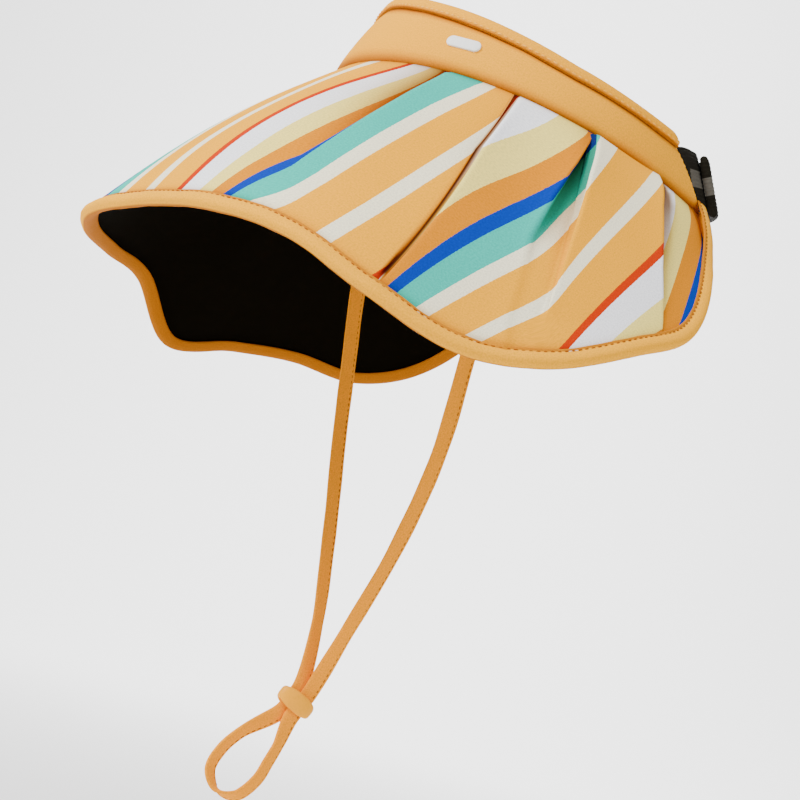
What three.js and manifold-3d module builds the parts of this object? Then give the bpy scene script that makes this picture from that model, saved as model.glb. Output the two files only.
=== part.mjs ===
// An open-top sun hat: a padded headband that is open behind, a wide pleated brim with a wired
// and bound edge, a stretch strap across the back, and a chin strap with a sliding bead.
// Millimetres, +Z up. The front of the hat points to -Y and the wearer's left is +X.
// The origin is the middle of the head opening, level with the band's lower edge.

import * as THREE from 'three';
import { mergeVertices } from 'three/addons/utils/BufferGeometryUtils.js';
import Module from 'manifold-3d';

// Headband. Its lower edge is an arc of an ellipse, seen from above, and it is worn nose up.
const bandHalfWidth = 85.5;
const bandHalfLength = 104.7;
const bandCentreY = 15.8;
const bandHalfSweep = 123;       // degrees of the ellipse's angle, from the front to each end
const bandWave = 2;              // how far the lower edge rises at the temples
const bandNoseUp = 9.2;          // degrees that the front is lifted above the back
const bandLean = 13;             // degrees that the wall leans in towards its top
const bandFrontHeight = 36.5;    // from the brim seam to the stitched groove
const bandSideHeight = 20;
const bandTaper = 0.6;           // the height has come down to the side's at this share
const bandTaperPower = 1.2;      // above 1 the height falls away faster near the peak
const bandPeakRound = 0.05;      // the peak at the front is rounded over about this share
const bandThickness = 3;
const bandCrown = 0.9;           // how far the foam swells the wall between seam and groove
const bandEndSlant = 0.125;      // share of the half length that the end edge slopes forward
const bandRows = 5;
const bandColumns = 48;

// The soft roll that is folded over the band's upper edge
const rollHeight = 7;
const rollSideHeight = 5.4;
const rollWall = 1.2;
const rollEndHeight = 3.4;
const rollEndLength = 0.03;      // share of the half length over which its end is rounded off
const rollTaperFrom = 0.5;       // it begins to get lower here, as a share of the half length
const rollBulge = 0.3;           // its faces swell by this much at half its height
const rollShoulder = 0.7;        // and are drawn in by this much at the shoulder
const rollShoulderAt = 0.86;     // which lies at this share of its height
const rollCrownInset = 0.6;      // its top is narrower than the band by this much each side

// Brim. Its wired edge is given by one row for each bend of the wire, from the front to the end.
// azimuth is measured from the front in degrees, reach from the origin, height from the seam.
// The wire keeps the bends that it was given, so the two sides differ a little.
const rimRows = [
  { azimuth: 0, leftReach: 182, leftHeight: -89, rightReach: 182, rightHeight: -89 },
  { azimuth: 15, leftReach: 178, leftHeight: -87, rightReach: 179, rightHeight: -90 },
  { azimuth: 30, leftReach: 176.5, leftHeight: -87, rightReach: 176.5, rightHeight: -89 },
  { azimuth: 43, leftReach: 174, leftHeight: -93, rightReach: 174, rightHeight: -92 },
  { azimuth: 56, leftReach: 171, leftHeight: -109, rightReach: 175, rightHeight: -116 },
  { azimuth: 69, leftReach: 166.5, leftHeight: -121, rightReach: 167, rightHeight: -107 },
  { azimuth: 82, leftReach: 164, leftHeight: -116, rightReach: 164, rightHeight: -101 },
  { azimuth: 95, leftReach: 159, leftHeight: -99, rightReach: 159, rightHeight: -102 },
  { azimuth: 107, leftReach: 150, leftHeight: -82, rightReach: 149, rightHeight: -89 },
  { azimuth: 118, leftReach: 131, leftHeight: -51, rightReach: 133, rightHeight: -62 },
  { azimuth: 130.6, leftReach: 106, leftHeight: -20, rightReach: 106, rightHeight: -21 },
];
const brimBulge = 5;             // how far the cloth swells above a straight line to its edge
const bulgeDepth = 140;          // where the brim is less deep than this, it swells less
const brimEnd = 0.98;            // where the brim stops, as a share of the band's half length
const brimSetIn = 0.6;           // the brim seam lies this far inside the band's face
const clothThickness = 1.2;
const liningThickness = 1;
const pieceGap = 0.4;            // between pieces that are sewn or lie together

// Knife pleats, the same on both sides. seam, upper, lower and tip are places along the band, as
// shares of its half length: the fold's line passes them at the seam, at a third and at two thirds
// of its depth, and at its tip. depth is how far down the brim the tip lies, as a share of the
// brim's width; rise is the height of the fold; rearOver says which side lies on top.
const pleats = [
  { seam: 0.307, upper: 0.285, lower: 0.27, tip: 0.239, depth: 0.48, rise: 4, rearOver: true },
  { seam: 0.515, upper: 0.463, lower: 0.434, tip: 0.407, depth: 0.92, rise: 6, rearOver: true },
  { seam: 0.683, upper: 0.647, lower: 0.612, tip: 0.587, depth: 0.86, rise: 6, rearOver: true },
  { seam: 0.845, upper: 0.793, lower: 0.756, tip: 0.735, depth: 0.92, rise: 5, rearOver: false },
];
const pleatFlank = 0.0048;       // half the run of the steep side, as a share of the half length
const pleatFade = 20;            // distance over which the raised cloth settles again
const pleatFall = 0.7;           // below 1 the fold keeps its height until near its tip
const steepestWall = 2.2;        // the cloth is at most this many times as thick, measured down
const liftTurn = 0.12;           // depth at which the lift has turned square to the brim
const panelColumns = [6, 5, 4, 4, 5];
const brimRows = [0, 0.06, 0.17, 0.33, 0.5, 0.67, 0.84];
const normalStep = 0.002;        // half the step along the band between which normals are taken

// Edge binding: a folded tape over the wire
const bindingWidth = 7.4;
const bindingWall = 1.1;
const bindingSlotDepth = 6;
const bindingFatAt = 2.6;        // it is fattest this far in from the edge, over the wire
const bindingFat = 0.3;
const bindingRound = 0.6;        // and rounded by this much towards the edge
const bindingRoundAt = 0.5;
const stripMargin = 1;           // the cloth is flat from this far before the binding
const stripFrom = 0.1;           // but never from nearer the seam than this share
const edgeInBinding = 1.9;       // the cloth stops this far short of the brim's edge

// Raised plain badge on the front left of the band
const badgeAt = 0.354;           // place along the band, as a share of its half length
const badgeUp = 14.7;            // height of its middle above the seam
const badgeLength = 17;
const badgeWidth = 5.6;
const badgeThickness = 0.9;
const badgeTipHalfWidth = 0.6;   // its round ends stop at this half width
const badgeRows = 4;
const badgeColumns = 12;

// Stretch strap across the back. It is sewn inside each end of the band, square to the slanted
// edge there, and leans in over the back of the head. The rows run from the left end to the middle.
const stretchHeight = 28;
const stretchThickness = 1.6;
const stretchInset = 5.6;        // its middle lies this far inside the band's face
const stretchSewn = [
  { along: 0.905, up: 7 },
  { along: 0.94, up: 13.5 },
];
const stretchRows = [
  { x: 60.5, y: 73, z: 7, lean: 24 },
  { x: 46, y: 81.5, z: 9, lean: 29 },
  { x: 23, y: 87, z: 10.5, lean: 30 },
  { x: 0, y: 88.5, z: 11, lean: 30 },
];
const stretchSteps = 36;
const tabOutset = 2.9;           // the doubled part stands this far outside the strap
const tabRows = [
  { x: 61.5, y: 73, z: 6, lean: 26 },
  { x: 55, y: 77.5, z: 7.5, lean: 28 },
  { x: 42, y: 83.2, z: 9.5, lean: 29 },
  { x: 26, y: 86.5, z: 10.5, lean: 30 },
];
const tabSteps = 10;

// Chin strap: one flat tape with a bead on it. The points are its middle line, and each row's
// last three numbers are the direction across the tape there.
const tapeWidth = 7.6;
const tapeThickness = 1.6;
const tapeSteps = 80;
const tapeTopUp = 14;            // it is sewn to the inside of the band this far above the seam
const tapeAt = 0.52;
const tapeSeat = 0.2;            // clearance to the band's inner face, beyond the piece gap
const tapeCorner = 0.3;          // its edges are bevelled by this share of its thickness
const leftStrand = [
  [67.5, -22.5, -30, 0.1, 1, 0],
  [57.5, -15, -70, 0, 1, 0],
  [46.5, -9.5, -108, 0, 1, 0],
  [34, -5.5, -150, 0, 1, 0],
  [21.5, -8.5, -195, -0.1, 1, 0],
  [11.5, -16, -234, -0.25, 0.95, -0.15],
];
const rightStrand = [
  [-67, -31.5, -30, -0.05, 1, 0],
  [-56, -33, -70, 0, 1, 0],
  [-45.5, -31, -108, 0, 1, 0],
  [-33.5, -28.5, -150, -0.1, 1, 0],
  [-20.5, -25, -195, -0.22, 1, 0],
  [-9.5, -23.5, -234, -0.45, 0.9, -0.1],
];
// The loop below the bead, from its left branch round to its right branch
const loopPoints = [
  [0, -29, -291.5],
  [0, -31.5, -300],
  [0, -34.5, -309],
  [0, -42, -317.5],
  [0, -51.5, -317],
  [0, -57, -309],
  [0, -54.5, -299.5],
  [0, -47.5, -290],
];
const loopAcross = [-0.55, 0.78, -0.3];

// Sliding bead
const beadLength = 18.5;
const beadHeight = 9;
const beadDepth = 9;
const beadCentre = [0, -26.6, -271.3];
const beadTilt = 24;             // degrees that its rear end hangs lower
const beadSlotLength = 13.5;
const beadSlotDepth = 4.4;
const strandStagger = 2.4;       // in the bead the strands are this far to each side of its middle
const strandStack = 1.1;         // and this far out from it, one over the other
const beadRun = 7;               // they run straight for this far above and below its middle
const beadPowers = [0.8, 0.75, 0.8];  // below 1 the ball is squarer along each axis

const radians = THREE.MathUtils.degToRad;
const clamp = THREE.MathUtils.clamp;
const lerp = THREE.MathUtils.lerp;
const vector = (list) => new THREE.Vector3(list[0], list[1], list[2]);

// Materials

function finish(colour, roughness) {
  return new THREE.MeshStandardMaterial({ color: colour, roughness, metalness: 0 });
}

const finishes = {
  apricot: finish(0xf0b468, 0.8),
  stripedCloth: finish(0xe8c07a, 0.75),
  blackLining: finish(0x14100a, 0.85),
  strapOrange: finish(0xd6903f, 0.8),
  beadYellow: finish(0xf0b84e, 0.45),
  blackWebbing: finish(0x26231a, 0.85),
  greyWebbing: finish(0x7c776b, 0.8),
  white: finish(0xf2f0ea, 0.5),
};

// Closed solids

// A geometry from points and triangles, turned so that its faces point out.
function closedGeometry(points, triangles) {
  let volume = 0;
  for (const [a, b, c] of triangles) {
    volume += points[a].dot(points[b].clone().cross(points[c]));
  }
  const flat = [];
  for (const [a, b, c] of triangles) {
    const order = volume < 0 ? [a, c, b] : [a, b, c];
    for (const index of order) {
      flat.push(points[index].x, points[index].y, points[index].z);
    }
  }
  const geometry = new THREE.BufferGeometry();
  geometry.setAttribute('position', new THREE.Float32BufferAttribute(flat, 3));
  geometry.computeVertexNormals();
  return geometry;
}

// A wall between two grids of points of the same size, closed along its four edges.
function wallBetween(outer, inner) {
  const rows = outer.length;
  const columns = outer[0].length;
  const points = [...outer.flat(), ...inner.flat()];
  const half = rows * columns;
  const at = (side, i, j) => side * half + i * columns + j;
  const triangles = [];
  const quad = (a, b, c, d) => triangles.push([a, b, c], [a, c, d]);
  for (let i = 0; i < rows - 1; i += 1) {
    for (let j = 0; j < columns - 1; j += 1) {
      quad(at(0, i, j), at(0, i, j + 1), at(0, i + 1, j + 1), at(0, i + 1, j));
      triangles.push([at(1, i, j), at(1, i + 1, j + 1), at(1, i, j + 1)]);
      triangles.push([at(1, i, j), at(1, i + 1, j), at(1, i + 1, j + 1)]);
    }
  }
  const last = rows - 1;
  for (let j = 0; j < columns - 1; j += 1) {
    quad(at(0, 0, j), at(1, 0, j), at(1, 0, j + 1), at(0, 0, j + 1));
    quad(at(0, last, j), at(0, last, j + 1), at(1, last, j + 1), at(1, last, j));
  }
  const end = columns - 1;
  for (let i = 0; i < last; i += 1) {
    quad(at(0, i, 0), at(0, i + 1, 0), at(1, i + 1, 0), at(1, i, 0));
    quad(at(0, i, end), at(1, i, end), at(1, i + 1, end), at(0, i + 1, end));
  }
  return closedGeometry(points, triangles);
}

// A section of [out, in] pairs carried along a list of frames { origin, x, y }, with flat ends.
function sweptSection(sections, frames) {
  const count = sections[0].length;
  const points = [];
  frames.forEach((frame, i) => {
    for (const [u, v] of sections[i]) {
      points.push(frame.origin.clone().addScaledVector(frame.x, u).addScaledVector(frame.y, v));
    }
  });
  const triangles = [];
  for (let i = 0; i < frames.length - 1; i += 1) {
    for (let k = 0; k < count; k += 1) {
      const a = i * count + k;
      const b = i * count + ((k + 1) % count);
      triangles.push([a, b, b + count], [a, b + count, a + count]);
    }
  }
  const contour = sections[0].map(([u, v]) => new THREE.Vector2(u, v));
  const offset = (frames.length - 1) * count;
  for (const [a, b, c] of THREE.ShapeUtils.triangulateShape(contour, [])) {
    triangles.push([a, c, b], [a + offset, b + offset, c + offset]);
  }
  return closedGeometry(points, triangles);
}

// Headband surfaces

// Turns a point of the level band to the way it is worn, with its front lifted.
function worn(point) {
  return point.applyAxisAngle(new THREE.Vector3(1, 0, 0), -radians(bandNoseUp));
}

// The band's face, level. along runs from -1 at the wearer's right end to 1 at the left end, up is
// the height above the brim seam, along the wall, and out is the distance outside the face.
function levelBandPoint(along, up, out = 0) {
  const angle = along * radians(bandHalfSweep);
  const rise = bandWave * Math.sin(Math.PI * Math.min(Math.abs(along), 1)) ** 2;
  const normal = new THREE.Vector2(
    Math.sin(angle) / bandHalfWidth,
    -Math.cos(angle) / bandHalfLength,
  ).normalize();
  const lean = radians(bandLean);
  const shift = out * Math.cos(lean) - up * Math.sin(lean);
  return new THREE.Vector3(
    bandHalfWidth * Math.sin(angle) + normal.x * shift,
    bandCentreY - bandHalfLength * Math.cos(angle) + normal.y * shift,
    rise + up * Math.cos(lean) + out * Math.sin(lean),
  );
}

function bandPoint(along, up, out = 0) {
  return worn(levelBandPoint(along, up, out));
}

function grooveHeight(along) {
  const left = Math.max(1 - Math.hypot(along, bandPeakRound) / bandTaper, 0);
  return lerp(bandSideHeight, bandFrontHeight, left ** bandTaperPower);
}

const rollEnd = 1 - bandEndSlant;

// The roll's height above the groove, rounded off at its two ends.
function rollRise(along) {
  const taper = THREE.MathUtils.smoothstep(Math.abs(along), rollTaperFrom, rollEnd);
  const height = lerp(rollHeight, rollSideHeight, taper);
  const past = (Math.abs(along) - (rollEnd - rollEndLength)) / rollEndLength;
  if (past <= 0) return height;
  return Math.max(rollEndHeight, height * Math.sqrt(1 - Math.min(past, 1) ** 2));
}

// Shares from 0 to 1, count steps apart.
function range(count) {
  return Array.from({ length: count + 1 }, (_, i) => i / count);
}

function bandPanel() {
  const slotLid = rollWall + 2 * pieceGap;
  const face = (depth) => range(bandRows).map((share) => range(bandColumns).map((step) => {
    const column = step * 2 - 1;
    const along = column * (1 - bandEndSlant * share);
    const height = grooveHeight(column * rollEnd) + rollRise(column * rollEnd) - slotLid;
    const up = height * share;
    const belowGroove = clamp(up / grooveHeight(along), 0, 1);
    const swell = bandCrown * Math.sin(Math.PI * belowGroove);
    return bandPoint(along, up, swell * (depth === 0 ? 1 : 0) - depth);
  }));
  return wallBetween(face(0), face(bandThickness));
}

function topRoll() {
  const inside = -bandThickness;
  const sections = [];
  const frames = [];
  for (const step of range(bandColumns)) {
    const along = (step * 2 - 1) * rollEnd;
    const height = rollRise(along);
    const outerFace = pieceGap + rollWall;
    const innerFace = inside - outerFace;
    sections.push([
      [pieceGap, 0],
      [outerFace, 0],
      [outerFace + rollBulge, height / 2],
      [outerFace - rollShoulder, height * rollShoulderAt],
      [-rollCrownInset, height],
      [inside + rollCrownInset, height],
      [innerFace + rollShoulder, height * rollShoulderAt],
      [innerFace - rollBulge, height / 2],
      [innerFace, 0],
      [inside - pieceGap, 0],
      [inside - pieceGap, height - rollWall - pieceGap],
      [pieceGap, height - rollWall - pieceGap],
    ]);
    const origin = bandPoint(along, grooveHeight(along));
    frames.push({
      origin,
      x: bandPoint(along, grooveHeight(along), 1).sub(origin),
      y: bandPoint(along, grooveHeight(along) + 1).sub(origin),
    });
  }
  return sweptSection(sections, frames);
}

function bandBadge() {
  const halfLength = bandHalfArc();
  const face = (out) => range(badgeRows).map((across) => range(badgeColumns).map((step) => {
    const x = (step * 2 - 1) * badgeLength / 2;
    const straight = (badgeLength - badgeWidth) / 2;
    const past = Math.max(Math.abs(x) - straight, 0) / (badgeWidth / 2);
    const round = Math.sqrt(1 - Math.min(past, 1) ** 2) * badgeWidth / 2;
    const halfHeight = Math.max(badgeTipHalfWidth, round);
    const up = badgeUp + (across * 2 - 1) * halfHeight;
    const swell = bandCrown * Math.sin(Math.PI * up / grooveHeight(badgeAt));
    return bandPoint(badgeAt + x / halfLength, up, swell + out);
  }));
  return wallBetween(face(pieceGap + badgeThickness), face(pieceGap));
}

// Length of the band's lower edge from the front to one end.
function bandHalfArc() {
  const steps = 200;
  let length = 0;
  for (let i = 0; i < steps; i += 1) {
    length += bandPoint(i / steps, 0).distanceTo(bandPoint((i + 1) / steps, 0));
  }
  return length;
}

// Brim surfaces

function rimPoint(row, side) {
  const azimuth = radians(row.azimuth);
  const reach = side > 0 ? row.leftReach : row.rightReach;
  const height = side > 0 ? row.leftHeight : row.rightHeight;
  return new THREE.Vector3(
    side * reach * Math.sin(azimuth),
    -reach * Math.cos(azimuth),
    height,
  );
}

const rimCurve = new THREE.CatmullRomCurve3(
  [
    ...rimRows.slice(1).reverse().map((row) => rimPoint(row, -1)),
    ...rimRows.map((row) => rimPoint(row, 1)),
  ],
  false,
  'catmullrom',
  0.5,
);

// A point of the smooth brim, without its pleats. down runs from 0 at the seam to 1 at the edge.
function smoothBrim(along, down) {
  const top = bandPoint(along, -pieceGap, -brimSetIn);
  const edge = rimCurve.getPoint(clamp((along + 1) / 2, 0, 1));
  return top.lerp(edge, down);
}

// Distance down the brim from its seam to its edge.
function brimDepth(along) {
  return smoothBrim(along, 0).distanceTo(smoothBrim(along, 1));
}

function brimNormal(along, down) {
  const after = smoothBrim(along + normalStep, down);
  const across = after.sub(smoothBrim(along - normalStep, down));
  const outward = smoothBrim(along, 1).sub(smoothBrim(along, 0));
  return outward.cross(across).normalize();
}

// Where the flat strip that the binding covers begins, as a share of the brim's depth.
function flatFrom(along) {
  return Math.max(1 - (bindingWidth + stripMargin) / brimDepth(along), stripFrom);
}

// lift raises the cloth off the smooth brim, and out then measures through its thickness. At the
// seam the lift goes straight out, so that the cloth stays below the band's lower edge.
function brimPoint(along, down, out = 0, lift = 0) {
  const flat = flatFrom(along);
  const normal = brimNormal(along, Math.min(down, flat));
  const level = bandPoint(along, 0, 1).sub(bandPoint(along, 0));
  const liftWay = level.lerp(normal, Math.min(down / liftTurn, 1)).normalize();
  const share = Math.min(brimDepth(along) / bulgeDepth, 1);
  const left = down > flat ? (1 - down) / (1 - flat) : 1;
  const swell = brimBulge * share ** 2 * Math.sin(Math.PI * Math.min(down, flat)) * left;
  return smoothBrim(along, down)
    .addScaledVector(normal, swell + out)
    .addScaledVector(liftWay, lift);
}

// Where a pleat's line is, along the band, at a place down the brim.
function pleatLine(pleat, down) {
  const stops = [pleat.seam, pleat.upper, pleat.lower, pleat.tip];
  const spot = Math.min(down / pleat.depth, 1) * (stops.length - 1);
  const index = Math.min(Math.floor(spot), stops.length - 2);
  return lerp(stops[index], stops[index + 1], spot - index);
}

// Turns a column of cloth into its place along the band, so that columns follow the pleats.
function clothToBand(column, down) {
  const size = Math.abs(column);
  const seams = [0, ...pleats.map((pleat) => pleat.seam), brimEnd];
  const lines = [0, ...pleats.map((pleat) => pleatLine(pleat, down)), brimEnd];
  let panel = 0;
  while (panel < pleats.length && size > seams[panel + 1]) panel += 1;
  const share = (size - seams[panel]) / (seams[panel + 1] - seams[panel]);
  return Math.sign(column) * lerp(lines[panel], lines[panel + 1], share);
}

// How far the pleats lift the cloth. The side on top rises steeply and settles slowly.
function pleatLift(column, down, halfArc) {
  const size = Math.abs(column);
  let lift = 0;
  for (const pleat of pleats) {
    const left = Math.max(1 - down / pleat.depth, 0);
    const height = pleat.rise * left ** pleatFall;
    const past = (size - pleat.seam) * (pleat.rearOver ? 1 : -1);
    const step = THREE.MathUtils.smoothstep(past, -pleatFlank, pleatFlank);
    const settle = Math.exp(-Math.max(past - pleatFlank, 0) * halfArc / pleatFade);
    lift += height * step * settle;
  }
  return lift;
}

function brimColumns() {
  const stops = [0, ...pleats.map((pleat) => pleat.seam), brimEnd];
  const side = [];
  for (let panel = 0; panel < panelColumns.length; panel += 1) {
    const from = stops[panel] + (panel > 0 ? pleatFlank : 0);
    const to = stops[panel + 1] - (panel < pleats.length ? pleatFlank : 0);
    const count = panelColumns[panel];
    for (const share of range(count)) side.push(lerp(from, to, share));
  }
  return [...side.slice(1).reverse().map((column) => -column), ...side];
}

// Rows down the brim at one column: the shared rows, then two rows at the binding.
function rowsDown(column) {
  const along = clothToBand(column, 1);
  const rows = brimRows.map((share) => share * flatFrom(along));
  return [...rows, flatFrom(along), 1 - edgeInBinding / brimDepth(along)];
}

function brimShell() {
  const columns = brimColumns();
  const halfArc = bandHalfArc();
  const outer = [];
  const inner = [];
  const rowCount = brimRows.length + 2;
  for (let i = 0; i < rowCount; i += 1) {
    const lifts = columns.map((column) => pleatLift(column, rowsDown(column)[i], halfArc));
    const places = columns.map((column) => clothToBand(column, rowsDown(column)[i]));
    outer.push(columns.map((column, j) => (
      brimPoint(places[j], rowsDown(column)[i], 0, lifts[j])
    )));
    inner.push(columns.map((column, j) => {
      const before = Math.max(j - 1, 0);
      const after = Math.min(j + 1, columns.length - 1);
      const slope = (a, b) => (
        Math.abs(lifts[b] - lifts[a]) / Math.max(Math.abs(places[b] - places[a]) * halfArc, 1e-6)
      );
      const steepest = Math.max(
        j > before ? slope(before, j) : 0,
        j < after ? slope(j, after) : 0,
      );
      const wall = clothThickness * Math.min(Math.hypot(1, steepest), steepestWall);
      const depth = Math.min(wall, clothThickness + lifts[j]);
      return brimPoint(places[j], rowsDown(column)[i], -depth, lifts[j]);
    }));
  }
  return wallBetween(outer, inner);
}

function brimLining() {
  const columns = brimColumns();
  const top = clothThickness + pieceGap;
  const face = (depth) => range(brimRows.length + 1).map((_, i) => columns.map((column) => {
    const down = rowsDown(column)[i];
    return brimPoint(clothToBand(column, down), down, -depth);
  }));
  return wallBetween(face(top), face(top + liningThickness));
}

function brimBinding() {
  const sandwich = clothThickness + pieceGap + liningThickness;
  const far = -sandwich - pieceGap - bindingWall;
  const near = pieceGap + bindingWall;
  const slotEnd = bindingWidth - bindingSlotDepth;
  const section = [
    [bindingWidth, near],
    [bindingFatAt, near + bindingFat],
    [bindingRoundAt, near - bindingRound],
    [0, -sandwich / 2],
    [bindingRoundAt, far + bindingRound],
    [bindingFatAt, far - bindingFat],
    [bindingWidth, far],
    [bindingWidth, -sandwich - pieceGap],
    [slotEnd, -sandwich - pieceGap],
    [slotEnd, pieceGap],
    [bindingWidth, pieceGap],
  ];
  const frames = brimColumns().map((column) => {
    const along = clothToBand(column, 1);
    const origin = brimPoint(along, 1);
    const flat = flatFrom(along);
    const inward = brimPoint(along, flat).sub(origin).normalize();
    return { origin, x: inward, y: brimNormal(along, flat) };
  });
  return sweptSection(frames.map(() => section), frames);
}

// Flat tapes

// A curve whose frames follow the direction across a tape, carried beside each of its points.
class TapeCurve extends THREE.CatmullRomCurve3 {
  constructor(route) {
    super(route.map((stop) => stop.point), false, 'centripetal');
    this.route = route;
  }

  acrossAt(place) {
    const spot = this.getUtoTmapping(place) * (this.route.length - 1);
    const index = Math.min(Math.floor(spot), this.route.length - 2);
    const before = this.route[index].across;
    return before.clone().lerp(this.route[index + 1].across, spot - index);
  }

  computeFrenetFrames(segments) {
    const frames = { tangents: [], normals: [], binormals: [] };
    for (let i = 0; i <= segments; i += 1) {
      const tangent = this.getTangentAt(i / segments);
      const across = this.acrossAt(i / segments);
      across.addScaledVector(tangent, -across.dot(tangent)).normalize();
      frames.tangents.push(tangent);
      frames.normals.push(across);
      frames.binormals.push(tangent.clone().cross(across));
    }
    return frames;
  }
}

function flatTape(route, width, thickness, steps) {
  const wide = width / 2;
  const thin = thickness / 2;
  const corner = thickness * tapeCorner;
  const section = new THREE.Shape([
    new THREE.Vector2(wide, -thin + corner),
    new THREE.Vector2(wide, thin - corner),
    new THREE.Vector2(wide - corner, thin),
    new THREE.Vector2(-wide + corner, thin),
    new THREE.Vector2(-wide, thin - corner),
    new THREE.Vector2(-wide, -thin + corner),
    new THREE.Vector2(-wide + corner, -thin),
    new THREE.Vector2(wide - corner, -thin),
  ]);
  return new THREE.ExtrudeGeometry(section, {
    steps,
    extrudePath: new TapeCurve(route),
    bevelEnabled: false,
  });
}

// Stretch strap

// A stop of the strap's route from a row of its table. outset moves it outwards.
function stretchStop(row, outset) {
  const outward = new THREE.Vector3(row.x, row.y, 0).normalize();
  const across = outward.clone().multiplyScalar(-Math.sin(radians(row.lean)));
  across.z = Math.cos(radians(row.lean));
  const point = new THREE.Vector3(row.x, row.y, row.z).addScaledVector(outward, outset);
  return { point, across };
}

function sewnStop({ along, up }) {
  const halfSlant = bandEndSlant / 2;
  const halfUp = (bandSideHeight + rollEndHeight) / 2;
  const top = bandPoint(along - halfSlant, up + halfUp, -stretchInset);
  const bottom = bandPoint(along + halfSlant, up - halfUp, -stretchInset);
  return { point: bandPoint(along, up, -stretchInset), across: top.sub(bottom).normalize() };
}

function mirrored(stop) {
  const flip = new THREE.Vector3(-1, 1, 1);
  return { point: stop.point.clone().multiply(flip), across: stop.across.clone().multiply(flip) };
}

function backStrap() {
  const left = [
    ...stretchSewn.map(sewnStop),
    ...stretchRows.map((row) => stretchStop(row, 0)),
  ];
  const right = left.slice(0, -1).map(mirrored).reverse();
  return flatTape([...left, ...right], stretchHeight, stretchThickness, stretchSteps);
}

function strapTab() {
  const route = tabRows.map((row) => stretchStop(row, tabOutset));
  return flatTape(route, stretchHeight + 1, stretchThickness, tabSteps);
}

// Chin strap and bead

const beadLong = new THREE.Vector3(0, Math.cos(radians(beadTilt)), -Math.sin(radians(beadTilt)));
const beadDown = new THREE.Vector3(0, -Math.sin(radians(beadTilt)), -Math.cos(radians(beadTilt)));
const beadFacing = new THREE.Vector3(1, 0, 0);

// A point on a strand inside the bead. side is 1 for the wearer's left strand and -1 for the right.
function inBead(side, down) {
  return vector(beadCentre)
    .addScaledVector(beadLong, side * strandStagger)
    .addScaledVector(beadFacing, side * strandStack)
    .addScaledVector(beadDown, down);
}

// The tape's middle line, with the direction across it carried beside each point.
function tapeRoute() {
  const inset = -(bandThickness + pieceGap + tapeThickness / 2 + tapeSeat);
  const anchor = (side) => [tapeTopUp, tapeTopUp / 2, 1].map((up) => {
    const along = side * tapeAt;
    const forward = bandPoint(along + side * normalStep, up);
    const across = forward.sub(bandPoint(along - side * normalStep, up));
    return { point: bandPoint(along, up, inset), across: across.normalize() };
  });
  const strand = (rows) => rows.map((row) => ({
    point: vector(row),
    across: vector(row.slice(3)).normalize(),
  }));
  const bead = (side) => [-beadRun, 0, beadRun].map((down) => ({
    point: inBead(side, down),
    across: beadLong.clone(),
  }));
  const loop = loopPoints.map((row) => ({
    point: vector(row),
    across: vector(loopAcross).normalize(),
  }));
  return [
    ...anchor(1),
    ...strand(leftStrand),
    ...bead(1),
    ...loop,
    ...bead(-1).reverse(),
    ...strand(rightStrand).reverse(),
    ...anchor(-1).reverse(),
  ];
}

function chinStrap() {
  return flatTape(tapeRoute(), tapeWidth, tapeThickness, tapeSteps);
}

// Makes a closed geometry a solid that can be cut, and a solid a geometry.
function toManifold(wasm, geometry) {
  const bare = geometry.clone();
  bare.deleteAttribute('normal');
  bare.deleteAttribute('uv');
  const merged = mergeVertices(bare, 1e-4);
  return new wasm.Manifold(new wasm.Mesh({
    numProp: 3,
    vertProperties: new Float32Array(merged.attributes.position.array),
    triVerts: new Uint32Array(merged.index.array),
  }));
}

function fromManifold(solid) {
  const mesh = solid.getMesh();
  const geometry = new THREE.BufferGeometry();
  geometry.setAttribute('position', new THREE.BufferAttribute(mesh.vertProperties, 3));
  geometry.setIndex(new THREE.BufferAttribute(mesh.triVerts, 1));
  const loose = geometry.toNonIndexed();
  loose.computeVertexNormals();
  return loose;
}

// A bean-shaped bead with a flat slot through it for the two strands.
function slidingBead(wasm) {
  const ball = new THREE.SphereGeometry(1, 20, 14);
  const place = ball.attributes.position;
  const square = (value, power) => Math.sign(value) * Math.abs(value) ** power;
  for (let i = 0; i < place.count; i += 1) {
    place.setXYZ(
      i,
      square(place.getX(i), beadPowers[0]) * beadLength / 2,
      square(place.getY(i), beadPowers[1]) * beadHeight / 2,
      square(place.getZ(i), beadPowers[2]) * beadDepth / 2,
    );
  }
  const slot = new THREE.BoxGeometry(beadSlotLength, beadHeight * 2, beadSlotDepth);
  const bean = toManifold(wasm, ball).subtract(toManifold(wasm, slot));
  const geometry = fromManifold(bean);
  const back = beadLong.clone().cross(beadDown);
  geometry.applyMatrix4(new THREE.Matrix4().makeBasis(beadLong, beadDown, back));
  geometry.translate(beadCentre[0], beadCentre[1], beadCentre[2]);
  return geometry;
}

const wasm = await Module();
wasm.setup();

const hat = new THREE.Group();

function addPiece(name, geometry, material) {
  const mesh = new THREE.Mesh(geometry, material);
  mesh.name = name;
  hat.add(mesh);
}

addPiece('band_panel', bandPanel(), finishes.apricot);
addPiece('top_roll', topRoll(), finishes.apricot);
addPiece('band_badge', bandBadge(), finishes.white);
addPiece('brim_shell', brimShell(), finishes.stripedCloth);
addPiece('brim_lining', brimLining(), finishes.blackLining);
addPiece('brim_binding', brimBinding(), finishes.apricot);
addPiece('back_strap', backStrap(), finishes.blackWebbing);
addPiece('strap_tab', strapTab(), finishes.greyWebbing);
addPiece('chin_strap', chinStrap(), finishes.strapOrange);
addPiece('sliding_bead', slidingBead(wasm), finishes.beadYellow);

export default hat;
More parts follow.
